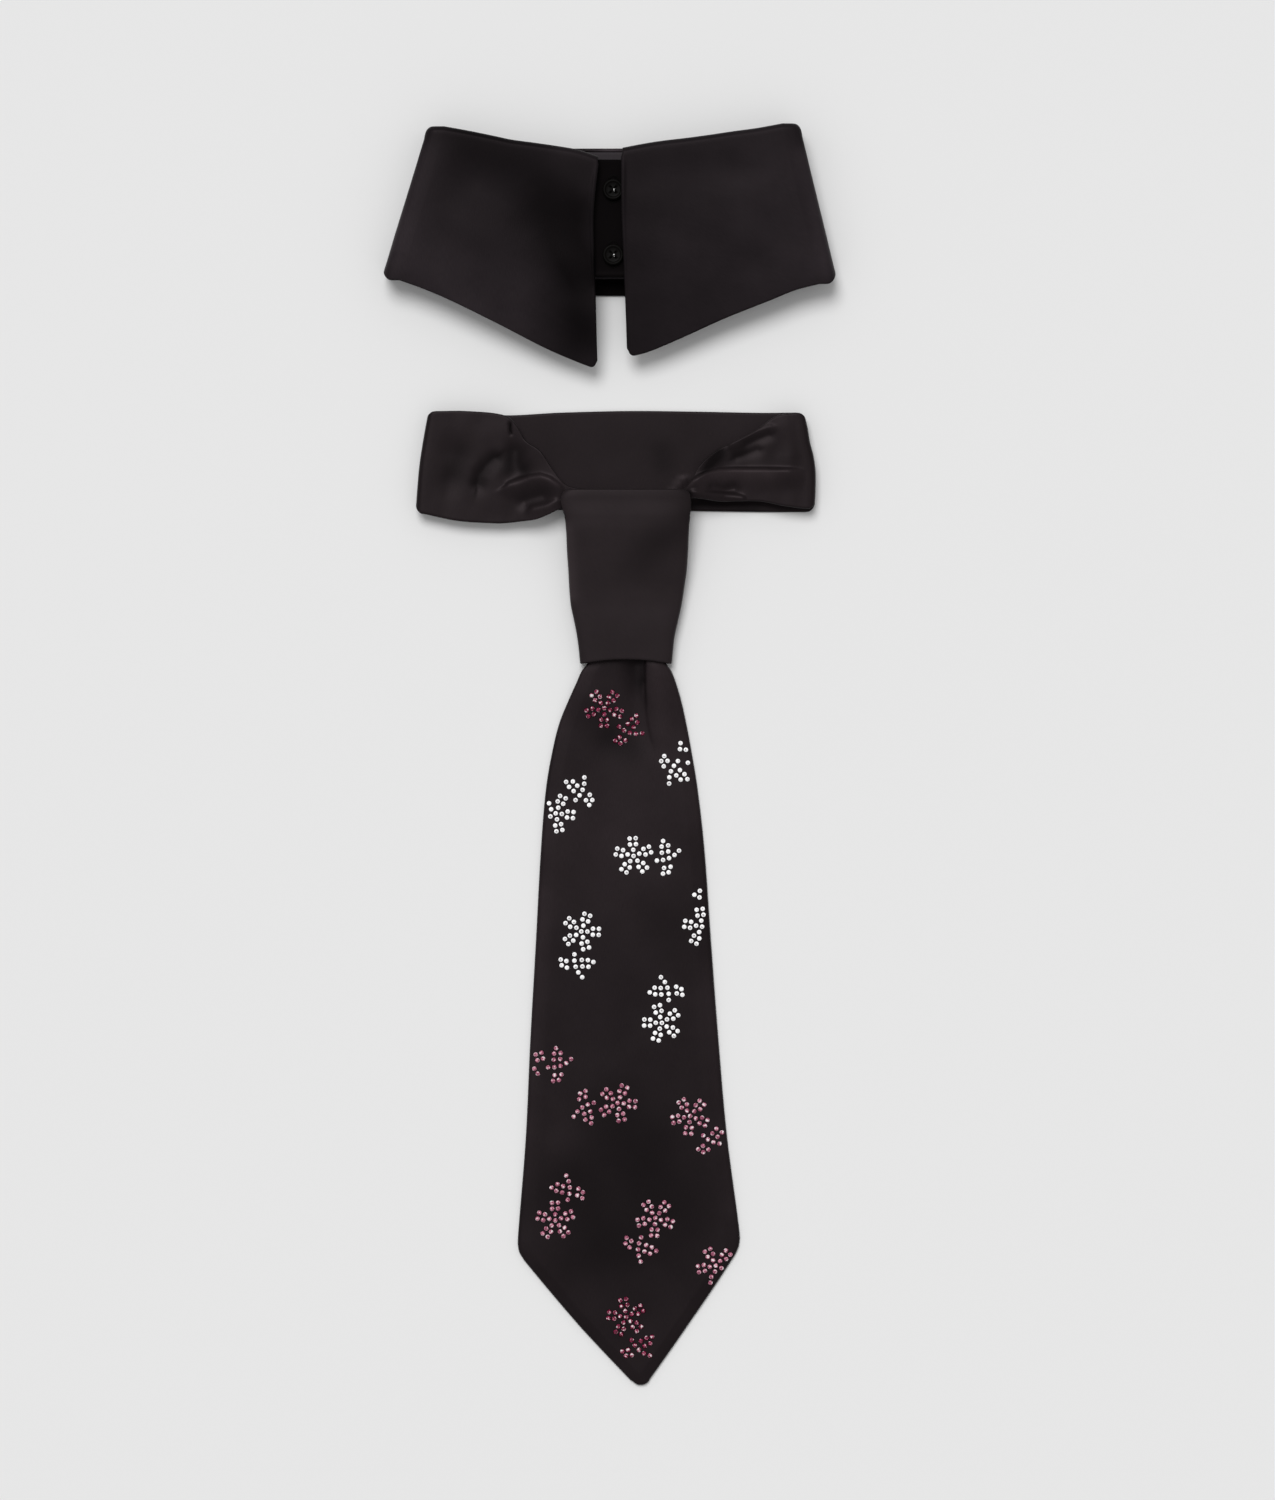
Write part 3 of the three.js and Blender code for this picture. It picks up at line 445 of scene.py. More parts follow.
def shell(name, middle, thickness, rim, painted_shading, ring=False):
    """A closed cloth wall about a grid of middle points. The inner face takes the second material."""
    if ring:
        around = np.roll(middle, -1, 0) - np.roll(middle, 1, 0)
    else:
        around = np.gradient(middle, axis=0)
    normal = np.cross(around, np.gradient(middle, axis=1))
    normal /= np.maximum(np.linalg.norm(normal, axis=2, keepdims=True), 1e-9)
    down = lengths(middle, 1)
    along = lengths(middle, 0)
    edge = np.minimum(down, down[:, -1:] - down)
    if not ring:
        edge = np.minimum(edge, np.minimum(along, along[-1:] - along))
    lift = normal * (thickness / 2 * round_edge(edge, rim))[..., None]
    # Painted light and shade: the share that lightens or darkens the cloth's colour, never below the
    # least.
    painted_shading = np.broadcast_to(np.maximum(painted_shading, LEAST_PAINTED_SHADING), edge.shape)
    uv = np.stack([along, down], 2) * MM
    piece = closed_wall(name, middle + lift, middle - lift, edge <= 1e-9, uv, painted_shading, ring)
    face = np.repeat([0, 1], len(piece.data.polygons) // 2).astype(np.int32)
    piece.data.polygons.foreach_set("material_index", face)
    return piece


# Where the two frames lie, from the solids.
def place_of(node, x, y):
    """A place in millimetres, from the middle of a solid."""
    low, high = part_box(node)
    middle = (low + high) / 2
    return np.array([middle.x / MM + x, middle.y / MM + y, 0])


collar_at = place_of("button_upper", -BUTTON.line, BUTTON.first)
knot_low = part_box("tie_knot")[0]
tie_at = np.array([collar_at[0] + TIE_SHIFT, knot_low.y / MM + KNOT.length, 0])

# Heights of the collar's layers, at the middle of each cloth.
fall_back = COLLAR.cloth / 2
stand_back = fall_back + COLLAR.cloth + COLLAR.back_ply
stand_under = stand_back + COLLAR.cloth + COLLAR.neck_space
stand_over = stand_under + COLLAR.cloth + SEAT
button_z = stand_over + COLLAR.cloth / 2 + SEAT
fall_front = button_z + BUTTON.thick + 2 * SEAT + COLLAR.bare_rim + COLLAR.cloth / 2
roll_front = (fall_front - stand_over) / 2
roll_back = (stand_back - fall_back) / 2
stand_reach = {s: COLLAR.neck[s] - COLLAR.cloth / 2 - roll_front - roll_back for s in (-1, 1)}


def loop_columns(front, turns, back, rim=2.0, length=90.0):
    """The columns round a flattened loop, from the left inner edge round behind to the right one."""
    near = RIM_STEPS * rim / length
    out = np.concatenate([near[:-1], np.linspace(near[-1], 1, front)])
    turn = np.linspace(0, math.pi, turns)[1:-1]
    behind = np.linspace(0, 1, back)
    flat, bent, rear = np.ones_like(out), np.ones_like(turn), np.ones_like(behind)
    side = np.concatenate([-flat, -bent, np.where(behind < 0.5, -1, 1), bent, flat])
    stack = lambda *spans: np.concatenate(spans)[:, None]
    turn = stack(0 * flat, turn, math.pi * rear, turn[::-1], 0 * flat)
    return SimpleNamespace(
        side=side.astype(int)[:, None],
        out=stack(out, bent, rear, bent, out[::-1]),
        turn=turn,
        share=(1 - np.cos(turn)) / 2,
        behind=stack(0 * flat, 0 * bent, behind, 1 + 0 * bent, 1 + 0 * flat),
        rear=stack(0 * flat, 0 * bent, rear, 0 * bent, 0 * flat) > 0,
        front=stack(flat, 0 * bent, 0 * rear, 0 * bent, flat) > 0,
    )


def squared(value):
    """Flattens the turn of a pressed fold: nearly level up to the edge, then round it."""
    return np.sign(value) * np.abs(value) ** 0.5


def corner_drop(x, reach, radius):
    """How far a rounded corner falls short, near the outermost place of a fold."""
    short = np.clip(radius - (reach - np.abs(x)), 0, radius)
    return radius - np.sqrt(radius**2 - short**2)


def by_side(columns, values):
    """The left or the right value of a pair, by the columns' side."""
    return np.where(columns.side < 0, values[-1], values[1])


def loop(columns, inner, reach, front_z, back_z):
    """x and z round a flattened loop, from the distances of its inner edge and of its fold."""
    side = columns.side
    bend = (front_z - back_z) / 2
    fold = side * (by_side(columns, reach) - bend)
    left, right = -(reach[-1] - bend), reach[1] - bend
    behind, out = mix(left, right, columns.behind), mix(side * inner, fold, columns.out)
    base = np.where(columns.rear, behind, out)
    x = base + side * bend * squared(np.sin(columns.turn))
    return x, (front_z + back_z) / 2 + bend * squared(np.cos(columns.turn))


def neck_top(columns, x, rounding):
    """The top of the neck fold. Between the leaves one side's line runs over into the other's."""
    inner = COLLAR.leaf_gap / 2
    bend = (stand_over - stand_back) / 2
    lines = [
        read(TOP_EDGE, "across", (np.abs(x) - inner) / (stand_reach[s] - bend - inner), name)
        for s, name in ((-1, "left"), (1, "right"))
    ]
    both = mix(lines[0], lines[1], smooth(x / (2 * inner - 2) + 0.5))
    level = np.where(columns.rear, np.maximum(both, 0), both)
    return COLLAR.neck_dip * level - rounding * np.sin(columns.turn) ** 2


def collar_fall():
    """The fall: a roll along the neck fold, then the leaves and the back down to their hem."""
    columns = loop_columns(front=110, turns=17, back=60)
    side, front = columns.side, columns.front
    inner = COLLAR.leaf_gap / 2
    roll = mix(roll_front, roll_back, columns.share)
    seam_x, seam_z = loop(columns, inner - 1, stand_reach, stand_over, stand_back)
    top = neck_top(columns, seam_x, 0) - COLLAR.cloth / 2 - roll
    sag = read(HEM_EDGE, "across", columns.out, "sag") * COLLAR.point_droop
    reach = {s: COLLAR.hem_side[s] - COLLAR.cloth / 2 for s in (-1, 1)}
    hem_x, hem_z = loop(columns, inner, reach, fall_front - sag, fall_back)
    round_off = corner_drop(0, np.abs(hem_x) - inner, COLLAR.corner_round) * COLLAR.corner_slant
    rise = read_sides(side, HEM_EDGE, "across", columns.out)
    front_y = -mix(by_side(columns, COLLAR.point), COLLAR.side_depth, rise) + round_off
    centre = np.where(columns.rear, np.sin(columns.behind * math.pi), 0)
    back_y = -mix(COLLAR.side_depth, COLLAR.back_depth, np.maximum(centre, 0) ** 0.5)
    hem_y = mix(front_y, back_y, columns.share)
    turns = np.linspace(0, math.pi, 13)[None, :]
    out = roll * (1 - np.cos(turns))
    rolled_x = seam_x + side * squared(np.sin(columns.turn)) * out
    rolled_z = seam_z + squared(np.cos(columns.turn)) * out
    rolled = np.stack([rolled_x, top + roll * np.sin(turns), rolled_z], 2)
    down = np.concatenate([np.linspace(0, 0.96, 64)[1:], 1 - RIM_STEPS[-2::-1] * 0.02])[None, :]
    start_x, start_y, start_z = np.moveaxis(rolled[:, -1:], 2, 0)
    x, y = mix(start_x, hem_x, down), mix(start_y, hem_y, down)
    z = mix(start_z, hem_z, np.where(front, down**3, down))
    shift = (read_sides(side, INNER_EDGE, "down", down) - 0.5) * (1 - columns.out)
    x = x + np.where(front, side * COLLAR.leaf_gap * shift, 0)
    fade = smooth(down / 0.34) * smooth((1 - columns.out) / 0.3) * front
    z = z + fade * (fold_height(LEAF_FOLDS, x, y) + ripple(x, y, length=34, height=0.16, seed=3))
    edge = lengths(np.stack([x, y, z], 2), 0)
    edge = np.where(side < 0, edge, edge[-1:] - edge)
    z = z + front * 0.4 * ridge(edge, 1.1, 0.8) * smooth(down / 0.08)
    middle = np.concatenate([rolled, np.stack([x, y, z], 2)], 1)
    x, y = middle[..., 0], middle[..., 1]
    down = np.concatenate([np.zeros(rolled.shape[1]), down[0]])[None, :]
    # Painted light and shade on the leaves, and painted light on the back where the gap between the leaves
    # shows it.
    painted_shading = 1 + fold_height(LEAF_PAINTED_SHADING, x, y) * smooth((2.4 - columns.turn) / 0.9)
    in_gap = ridge(x, 0, 8) * smooth((-0.6 - y) / 0.8) * (down < 0.001)
    painted_shading = painted_shading + GAP_PAINTED_LIGHT * in_gap * columns.rear
    widest = mix(by_side(columns, COLLAR.neck), by_side(columns, COLLAR.hem_side), down)
    drop = corner_drop(x, widest - COLLAR.cloth / 2, COLLAR.side_round)
    middle[..., 1] = y + drop * (2 * down - 1)
    return shell("collar_fall_cloth", middle + collar_at, COLLAR.cloth, COLLAR.rim, painted_shading)


def collar_stand():
    """The stand inside the fall, its left end lapped over its right one."""
    columns = loop_columns(front=110, turns=17, back=50)
    side, front = columns.side, columns.front
    over, under = BUTTON.line + COLLAR.lap / 2, BUTTON.line - COLLAR.lap / 2
    x, z = loop(columns, np.where(side < 0, -over, under), stand_reach, stand_over, stand_back)
    lower = np.where((side > 0) & front, 1 - smooth((x - over - 2 * SEAT) / COLLAR.lap), 0)
    z = z - lower * (stand_over - stand_under)
    top = neck_top(columns, x, COLLAR.neck_round) - mix(roll_front, roll_back, columns.share)
    top = top - COLLAR.cloth / 2 - COLLAR.seam * (1 - 0.95 * columns.rear)
    in_gap = smooth(by_side(columns, COLLAR.gap_half) - np.abs(x)) * front
    y = mix(mix(top, -COLLAR.gap_depth, in_gap), -COLLAR.stand_depth, shares(40, 60, 2)[None, :])
    x, y, z = np.broadcast_arrays(x, y, z)
    bead = ridge(y, 1.4 - COLLAR.stand_depth, 0.8) * front
    swell = ripple(x, y, length=26, height=0.1, seed=5) * front
    middle = np.stack([x, y, z + swell + 0.5 * bead], 2)
    # The bead along the stand's lower edge is also painted lighter: a painted highlight.
    return shell("collar_stand_cloth", middle + collar_at, COLLAR.cloth, COLLAR.rim, 1 + 0.6 * bead)


# Heights of the tie's layers.
band_back = BAND.cloth / 2
arm_z = BAND.cloth * 1.5 + BAND.space
knot_under = BAND.cloth + BAND.space
arm_in_knot = knot_under + KNOT.depth * KNOT.arm_level


def neck_band():
    """The band: its back, its two end folds and the two arms that gather into the knot."""
    columns = loop_columns(front=150, turns=15, back=90)
    side, front, rear = columns.side, columns.front, columns.rear
    across = shares(64, 48, 2)[None, :]
    bend = (arm_z - band_back) / 2
    ends = [BAND.half * read(BAND_ENDS, "across", across, name) for name in ("left", "right")]
    left, right = bend + BAND.cloth / 2 - ends[0], ends[1] - bend - BAND.cloth / 2
    fold = np.where(side < 0, left, right)
    along = np.where(front, 1 - columns.out, 0)
    arms, back = [], []
    for name, full in (("upper", BAND.top), ("lower", BAND.bottom)):
        both = [read(rows, "along", along, name) for rows in (LEFT_ARM, RIGHT_ARM)]
        arms.append(full * np.where(side < 0, *both))
        back.append(full * read(BAND_BACK, "behind", columns.behind, name))
    turned = fold + side * bend * squared(np.sin(columns.turn))
    x = np.where(front, mix(fold, by_side(columns, BAND.arm_end), along), turned)
    x = np.where(rear, mix(left, right, columns.behind), x)
    y = mix(mix(*arms, across), mix(*back, across), columns.share)
    y = y - corner_drop(x, np.abs(fold) + bend, BAND.corner_round) * (1 - 2 * across) ** 3
    z = (arm_z + band_back) / 2 + bend * squared(np.cos(columns.turn))
    z = z + np.where(front, (arm_in_knot - arm_z) * smooth((along - 0.45) / 0.28), 0) + 0 * x
    fade = smooth(along / 0.12) * (1 - smooth((along - 0.66) / 0.14)) * front
    z = z + fade * (fold_height(ARM_FOLDS, x, y) + ripple(x, y, length=16, height=0.12, seed=8))
    z = z + rear * np.maximum(fold_height(BACK_FOLDS, x, y), 0)
    # Painted light and shade on the band, painted shade on the back under the right arm, and painted shade
    # along the left arm's upper edge that dims its lit rim.
    left_edge_painted_shade = ridge(across, 0, 0.014) * (front & (side < 0)) * smooth((along - 0.3) / 0.1)
    painted_shading = 1 + fold_height(ARM_PAINTED_SHADING, x, y) + fold_height(BACK_PAINTED_SHADE, x, y) * rear - 0.45 * left_edge_painted_shade
    return shell("neck_band_cloth", np.stack([x, y, z], 2) + tie_at, BAND.cloth, BAND.rim, painted_shading)


def tie_knot():
    """The knot: a flattened tube of cloth, its upper edge notched for the arms."""
    sides, rows = 220, 90
    turn = (-np.arange(sides) / sides * 2 * math.pi)[:, None]
    down = shares(rows, KNOT.length, 2)[None, :]
    square = lambda v: np.sign(v) * np.abs(v) ** (2 / KNOT.squareness)
    c, s = np.cos(turn), np.sin(turn)
    top = -KNOT.notch * (1 - smooth((np.abs(s) - 0.15) / 0.25))
    hem = -KNOT.length + KNOT.bow * (1 - square(c) ** 2)
    y = mix(top, hem, down)
    share = -y / KNOT.length
    half = KNOT.half * read(KNOT_ROWS, "down", share, "half") - KNOT.wall / 2
    under = knot_under * np.maximum(read(KNOT_ROWS, "down", share, "under"), 0) + KNOT.wall / 2
    depth = KNOT.depth * read(KNOT_ROWS, "down", share, "depth") - KNOT.wall
    x = KNOT.axis + KNOT.half * read(KNOT_ROWS, "down", share, "lean") + half * square(c)
    z = under + depth / 2 * (1 + square(s))
    z = z + ripple(x, y, length=30, height=0.14, seed=12) * (s > 0) * smooth((np.abs(s) - 0.2) / 0.5)
    # Painted light and shade on the knot's front.
    painted_shading = 1 + fold_height(KNOT_PAINTED_SHADING, x, y) * (s > 0)
    middle = np.stack([x, y, z], 2)
    return shell("tie_knot_cloth", middle + tie_at, KNOT.wall, KNOT.rim, painted_shading, ring=True)


def blade_rows(count):
    """How far below the knot the blade's rows lie, their half widths and their middles."""
    side, length, tip, cut = BLADE.side, BLADE.length, BLADE.tip, BLADE.corner
    slope = math.atan2(BLADE.half, length - side)
    sharp = length + tip * (1 / math.sin(slope) - 1)
    touch = math.pi / 2 - slope
    arc = np.linspace(1, 0.02, 12)
    arc_run = length - tip * (1 - np.cos(arc * touch))
    tucked = np.linspace(-BLADE.tuck, 0, 10)[:-1]
    pointed = np.linspace(side + cut, arc_run[0], count // 3)[:-1]
    corner = [side - cut * 0.4, side, side + cut * 0.4]
    run = np.concatenate([tucked, np.linspace(0, side - cut, count), corner, pointed, arc_run])
    down = np.maximum(run, 0) / side
    half = BLADE.half * read(BLADE_ROWS, "down", down, "half")
    middle = BLADE.tip_lean * read(BLADE_ROWS, "down", down, "lean")
    t = np.clip((run - side) / (sharp - side), 0, 1)
    past = run > side
    pointed = BLADE.half * BLADE_ROWS["half"][-1] * (1 - t) + BLADE.bulge * np.sin(t * math.pi)
    half = np.where(past, pointed, half)
    middle = np.where(past, mix(BLADE.tip_lean * 0.15, BLADE.tip_lean, t), middle)
    bump = np.clip(1 - np.abs(run - side) / cut, 0, 1)
    half = half - cut * BLADE.cut * bump**1.5
    half[-len(arc):] = tip * np.sin(arc * touch)
    middle[-len(arc):] = BLADE.tip_lean
    return run, half, middle


def blade_face(x, run, half):
    """Height of the blade's face over its back, and of its back over the table."""
    settled = smooth(run / BLADE.settle)
    base = (KNOT.wall + 2 * SEAT) * (1 - settled)
    inward = np.clip((half - np.abs(x)) / BLADE.soft_edge, 0, 1)
    full = BLADE.edge_share + (1 - BLADE.edge_share) * inward**0.7
    thick = mix(BLADE.thick_in_knot, BLADE.thick, settled) * full
    past = x - PLEAT.line - PLEAT.bend * np.maximum(run, 0) ** 2
    folded = np.where(run > 0, 1 - smooth(run / PLEAT.length), 1 - smooth(-run / PLEAT.hidden))
    step = smooth(past / STEP.edge + 0.5) * (1 - smooth((past - STEP.flat) / STEP.fade))
    valley = VALLEY.depth * ridge(past, -VALLEY.away, VALLEY.width)
    shoulder = SHOULDER.height * ridge(x, SHOULDER.across, SHOULDER.width)
    shoulder = shoulder * smooth((run - SHOULDER.start) / SHOULDER.rise)
    shoulder = shoulder * (1 - smooth(run / SHOULDER.length))
    dent = DENT.depth * ridge(x, DENT.across, DENT.width) * ridge(run, DENT.down, DENT.length)
    return base, thick + folded * (STEP.height * step - valley) + shoulder - dent


def tie_blade():
    """The padded blade, from inside the knot to its point."""
    run, half, centre = [row[:, None] for row in blade_rows(230)]
    middle = np.linspace(-1 + BLADE_RIM_STEPS[-1], 1 - BLADE_RIM_STEPS[-1], 96)
    rim = BLADE_RIM_STEPS[:-1]
    across = np.concatenate([-1 + rim, middle, (1 - rim)[::-1]])[None, :]
    x = across * half
    skew = BLADE.skew * smooth(run / BLADE.side) * np.minimum(1, half / (BLADE.half / 2))
    y = -KNOT.length - run + across * skew
    base, thick = blade_face(x, run, half)
    thick = thick + ripple(x, run, length=46, height=0.1, seed=21) * smooth(run / 20)
    roll = round_edge(half - np.abs(x), BLADE.rim)
    roll = np.minimum(roll, round_edge(BLADE.length - run, BLADE.rim))
    low = base + (1 - roll) * thick * BLADE.under
    high = np.maximum(base + thick * (BLADE.under + (1 - BLADE.under) * roll), low)
    border = np.zeros(x.shape, bool)
    border[:, 0] = border[:, -1] = border[-1, :] = border[0, :] = True
    high = np.where(border, (high + low) / 2, high)
    place = np.stack([KNOT.axis + centre + x, y], 2)
    # Painted light and shade on the blade, with painted shade in the pleat's valley.
    painted_shading = 1 + fold_height(BLADE_PAINTED_SHADING, place[..., 0], place[..., 1])
    top = np.concatenate([place, high[..., None]], 2) + tie_at
    under = np.concatenate([place, low[..., None]], 2) + tie_at
    return closed_wall("tie_blade_panel", top, under, border, top[..., :2] * MM, painted_shading)


def blade_height(x, run):
    """Height of the blade's face at a place, x from the knot's middle."""
    rows, halves, centres = blade_rows(230)
    half = np.interp(run, rows, halves)
    centre = np.interp(run, rows, centres)
    base, thick = blade_face(x - centre, run, half)
    return base + thick, half - np.abs(x - centre)


# Stones: flat backs, a round girdle, a faceted crown and a table, with a painted dark ring of shade round
# each, whose widths and lift are given below.
STONE = SimpleNamespace(
    radius=1.08, height=0.9, girdle=0.2, mid=0.8, mid_height=0.62, table=0.52,
    sides=16, lean=0.05, lift=0.04, shadow_ring_in=0.1, shadow_ring_out=0.2, shadow_ring_lift=0.1,
    from_side=2.2, from_knot=2.5, step=0.8,
)
# A flower with five petals on a bent stem, by rings: how many, how far out, turned by how many degrees.
FLOWER = table(
    "count radius turn",
    (1, 0, 0),
    (5, 2.95, 0),
    (5, 5.8, -14.5),
    (5, 5.8, 14.5),
    (5, 8.6, -9.8),
    (5, 8.6, 9.8),
)
STEM = table("x y", (0.6, -10.2), (1.5, -12.7), (2.9, -15), (4.8, -16.9), (7.1, -18.3))
LEAF = table(
    "x y",
    (4.4, -11.4), (6.9, -10.6), (9.4, -10.6), (5.6, -13.9), (8.1, -13.2),
    (-1.7, -14), (-4.2, -14.2), (-3, -16.4), (-0.5, -16.6),
)
STEM_SCALE = 1.12
MOTIF_MIDDLE = (-1.5, 4.5)
# The motifs on the blade: place from the knot's middle and down from its hem, turn in degrees and kind.
MOTIFS = [
    (-7, 24, 35, "crimson"),
    (31, 44, -60, "white"),
    (-31, 68, 120, "white"),
    (8, 92, 75, "white"),
    (37, 122, 152, "white"),
    (-22, 133, -20, "white"),
    (17, 168, 160, "white"),
    (-44, 190, 70, "pink"),
    (-9, 212, -95, "pink"),
    (34, 221, 30, "pink"),
    (-33, 262, 145, "pink"),
    (12, 271, -40, "pink"),
    (47, 288, 100, "pink"),
    (2, 318, 10, "crimson"),
]


def ring(count, radius, z, shift=0):
    """Points round a circle, the first of them turned by some degrees."""
    angles = [math.radians(shift + 360 * k / count) for k in range(count)]
    return [(radius * math.cos(a), radius * math.sin(a), z) for a in angles]


def belt(first, second, count, turned=1):
    """Faces between two rings of points, given where each ring starts."""
    after = lambda k: (k + 1) % count
    return [(first + k, first + after(k), second + after(k), second + k)[::turned] for k in range(count)]


def motif_points():
    """Where the stones of a motif lie, about its middle."""
    places = []
    for count, radius, turn in zip(*FLOWER.values()):
        places += [point[:2] for point in ring(int(count), radius, 0, 90 + turn)]
    places += [(x * STEM_SCALE, y * STEM_SCALE) for x, y in [*zip(*STEM.values()), *zip(*LEAF.values())]]
    return np.array(places) + MOTIF_MIDDLE


def stone_places(*kinds):
    """Where the stones of some colours lie: x from the knot's middle and distance down from its hem."""
    px, py = motif_points().T
    places = []
    for across, run, turn, kind in MOTIFS:
        if kind in kinds:
            c, s = math.cos(math.radians(turn)), math.sin(math.radians(turn))
            places.append([across + px * c - py * s, run - px * s - py * c])
    x, down = np.concatenate(places, 1)
    keep = (blade_height(x, down)[1] > STONE.from_side) & (down > STONE.from_knot)
    return np.stack([x, down], 1)[keep]


def on_blade(x, down, lift):
    """Places over the blade's face: x from the knot's middle, distance down from its hem, and a lift."""
    skew = BLADE.skew * x / BLADE.half * np.minimum(1, down / BLADE.side)
    height = blade_height(x, down)[0]
    return np.stack([KNOT.axis + x, -KNOT.length - down + skew, height + lift], -1) + tie_at


def stone_mesh():
    """The points and faces of one stone. Its second face is the table."""
    r, h, sides = STONE.radius, STONE.height, STONE.sides
    half, mid, top = sides // 2, 2 * sides, 2 * sides + sides // 2
    points = ring(sides, r, 0) + ring(sides, r, STONE.girdle)
    points += ring(half, r * STONE.mid, h * STONE.mid_height, 360 / sides)
    points += ring(half, r * STONE.table, h)
    faces = [tuple(range(sides - 1, -1, -1)), tuple(range(top, top + half)), *belt(0, sides, sides)]
    for k in range(half):
        a, b, c = sides + 2 * k, sides + 2 * k + 1, sides + (2 * k + 2) % sides
        here, after = mid + k, mid + (k + 1) % half
        t, u = top + k, top + (k + 1) % half
        faces += [(a, b, here), (b, c, here), (t, here, u), (here, c, u), (c, after, u)]
    return np.array(points), faces


def stone_painted_shadow_rings():
    """A painted dark ring of shade round every stone."""
    sides, points, faces = STONE.sides, [], []
    for x, down in stone_places(*glass):
        faces += belt(len(points), len(points) + sides, sides, -1)
        for out in (-STONE.shadow_ring_in, STONE.shadow_ring_out):
            points += [(x + px, down - py) for px, py, _ in ring(sides, STONE.radius + out, 0)]
    x, down = np.array(points).T
    return mesh_of("stone_painted_shadow_rings", on_blade(x, down, STONE.shadow_ring_lift), faces)


def stones(kind):
    """All stones of one colour, as one mesh that lies on the blade."""
    rng = np.random.default_rng({"white": 1, "pink": 2, "crimson": 3}[kind])
    one, faces = stone_mesh()
    points, all_faces, step = [], [], STONE.step
    for x, down in stone_places(kind):
        spin = rng.uniform(0, math.pi)
        tip, lean = rng.uniform(-STONE.lean, STONE.lean, 2)
        c, s = math.cos(spin), math.sin(spin)
        turned = one @ np.array([[c, s, 0], [-s, c, 0], [0, 0, 1]])
        here, right, lower = blade_height(x + np.array([0, step, 0]), down + np.array([0, 0, step]))[0]
        slope_x, slope_y = tip + (right - here) / step, lean + (here - lower) / step
        turned[:, 2] += turned[:, 0] * slope_x + turned[:, 1] * slope_y
        all_faces += [tuple(len(points) * len(one) + v for v in face) for face in faces]
        points.append(turned + on_blade(x, down, STONE.lift))
    piece = mesh_of("stones_" + kind, np.concatenate(points), all_faces)
    count = len(piece.data.polygons)
    piece.data.polygons.foreach_set("use_smooth", np.zeros(count, bool))
    for material in glass[kind]:
        piece.data.materials.append(material)
    is_table = (np.arange(count) % len(faces) == 1).astype(np.int32)
    piece.data.polygons.foreach_set("material_index", is_table)
    return piece


def lathe(name, profile, at, sides=72):
    """A turned piece with a rounded profile, closed at both ends on the axis."""
    rings = [(r, z) for r, z in profile if r > 0]
    points = [(0, 0, profile[0][1])]
    for r, z in rings:
        points += ring(sides, r, z)
    points.append((0, 0, profile[-1][1]))
    faces = [(0, 1 + (k + 1) % sides, 1 + k) for k in range(sides)]
    for n in range(len(rings) - 1):
        faces += belt(1 + n * sides, 1 + (n + 1) * sides, sides)
    last = 1 + (len(rings) - 1) * sides
    faces += [(last + k, last + (k + 1) % sides, len(points) - 1) for k in range(sides)]
    return mesh_of(name, np.array(points) + at, faces)


# The button's profile, from the middle of its back round the rim to the middle of its dished face.
BUTTON_PROFILE = table(
    "radius height",
    (0, 0), (4.2, 0), (4.75, 0.25), (5, 0.8), (5, 1.3), (4.85, 1.8), (4.5, 2.08),
    (4.1, 2.1), (3.75, 1.9), (3.45, 1.5), (3.2, 1.42), (1.8, 1.46), (0, 1.5),
)
# One thread across the button, and one stitch at a buttonhole's long edges and round its ends.
THREAD = table("along height", (-1.1, 0.3), (-1, 1.3), (-0.6, 1.75), (0.6, 1.75), (1, 1.3), (1.1, 0.3))
EDGE_STITCH = table(
    "out along height",
    (-0.15, 0, -0.5),
    (0.1, 0, 0.12),
    (1, 0.1, 0.1),
    (1.15, 0.1, -0.2),
)
END_STITCH = table("out height", (-0.12, -0.5), (0.1, 0.14), (1, 0.12), (1.15, -0.2))
# The end radius is that of the painted glint's speck.
THREAD_RADIUS = SimpleNamespace(button=0.15, hole=0.17, end=0.26)


def button(name, y):
    """A four-hole shirt button, with its holes cut through."""
    at = collar_at + (BUTTON.line, y, button_z)
    body = lathe(name, list(zip(*BUTTON_PROFILE.values())), at)
    hole, out = BUTTON.hole, BUTTON.hole_out
    for side, end in ((1, 1), (-1, 1), (-1, -1), (1, -1)):
        bore = [(0, -2), (hole, -2), (hole, 4), (0, 4)]
        drill = lathe("drill", bore, at + (side * out, end * out, 0), sides=20)
        cut = body.modifiers.new("hole", "BOOLEAN")
        cut.object = drill
        cut.solver = "EXACT"
        bpy.context.view_layer.objects.active = body
        bpy.ops.object.modifier_apply(modifier=cut.name)
        bpy.data.objects.remove(drill)
    return body


def strand(name, paths, radius, sides=8):
    """Short threads as one mesh: each path is a list of points."""
    points, faces = [], []
    for path in paths:
        path = np.array(path, float)
        ahead = np.gradient(path, axis=0)
        ahead /= np.linalg.norm(ahead, axis=1, keepdims=True)
        guide = np.array([0, 0, 1.0]) if abs(ahead[0][2]) < 0.9 else np.array([1.0, 0, 0])
        start = len(points)
        for p, a in zip(path, ahead):
            u = np.cross(a, guide)
            u /= np.linalg.norm(u)
            v = np.cross(u, a)
            points += [p + px * u + py * v for px, py, _ in ring(sides, radius, 0)]
        for n in range(len(path) - 1):
            faces += belt(start + n * sides, start + (n + 1) * sides, sides)
        faces.append(tuple(start + k for k in range(sides - 1, -1, -1)))
        faces.append(tuple(start + (len(path) - 1) * sides + k for k in range(sides)))
    return mesh_of(name, points, faces)


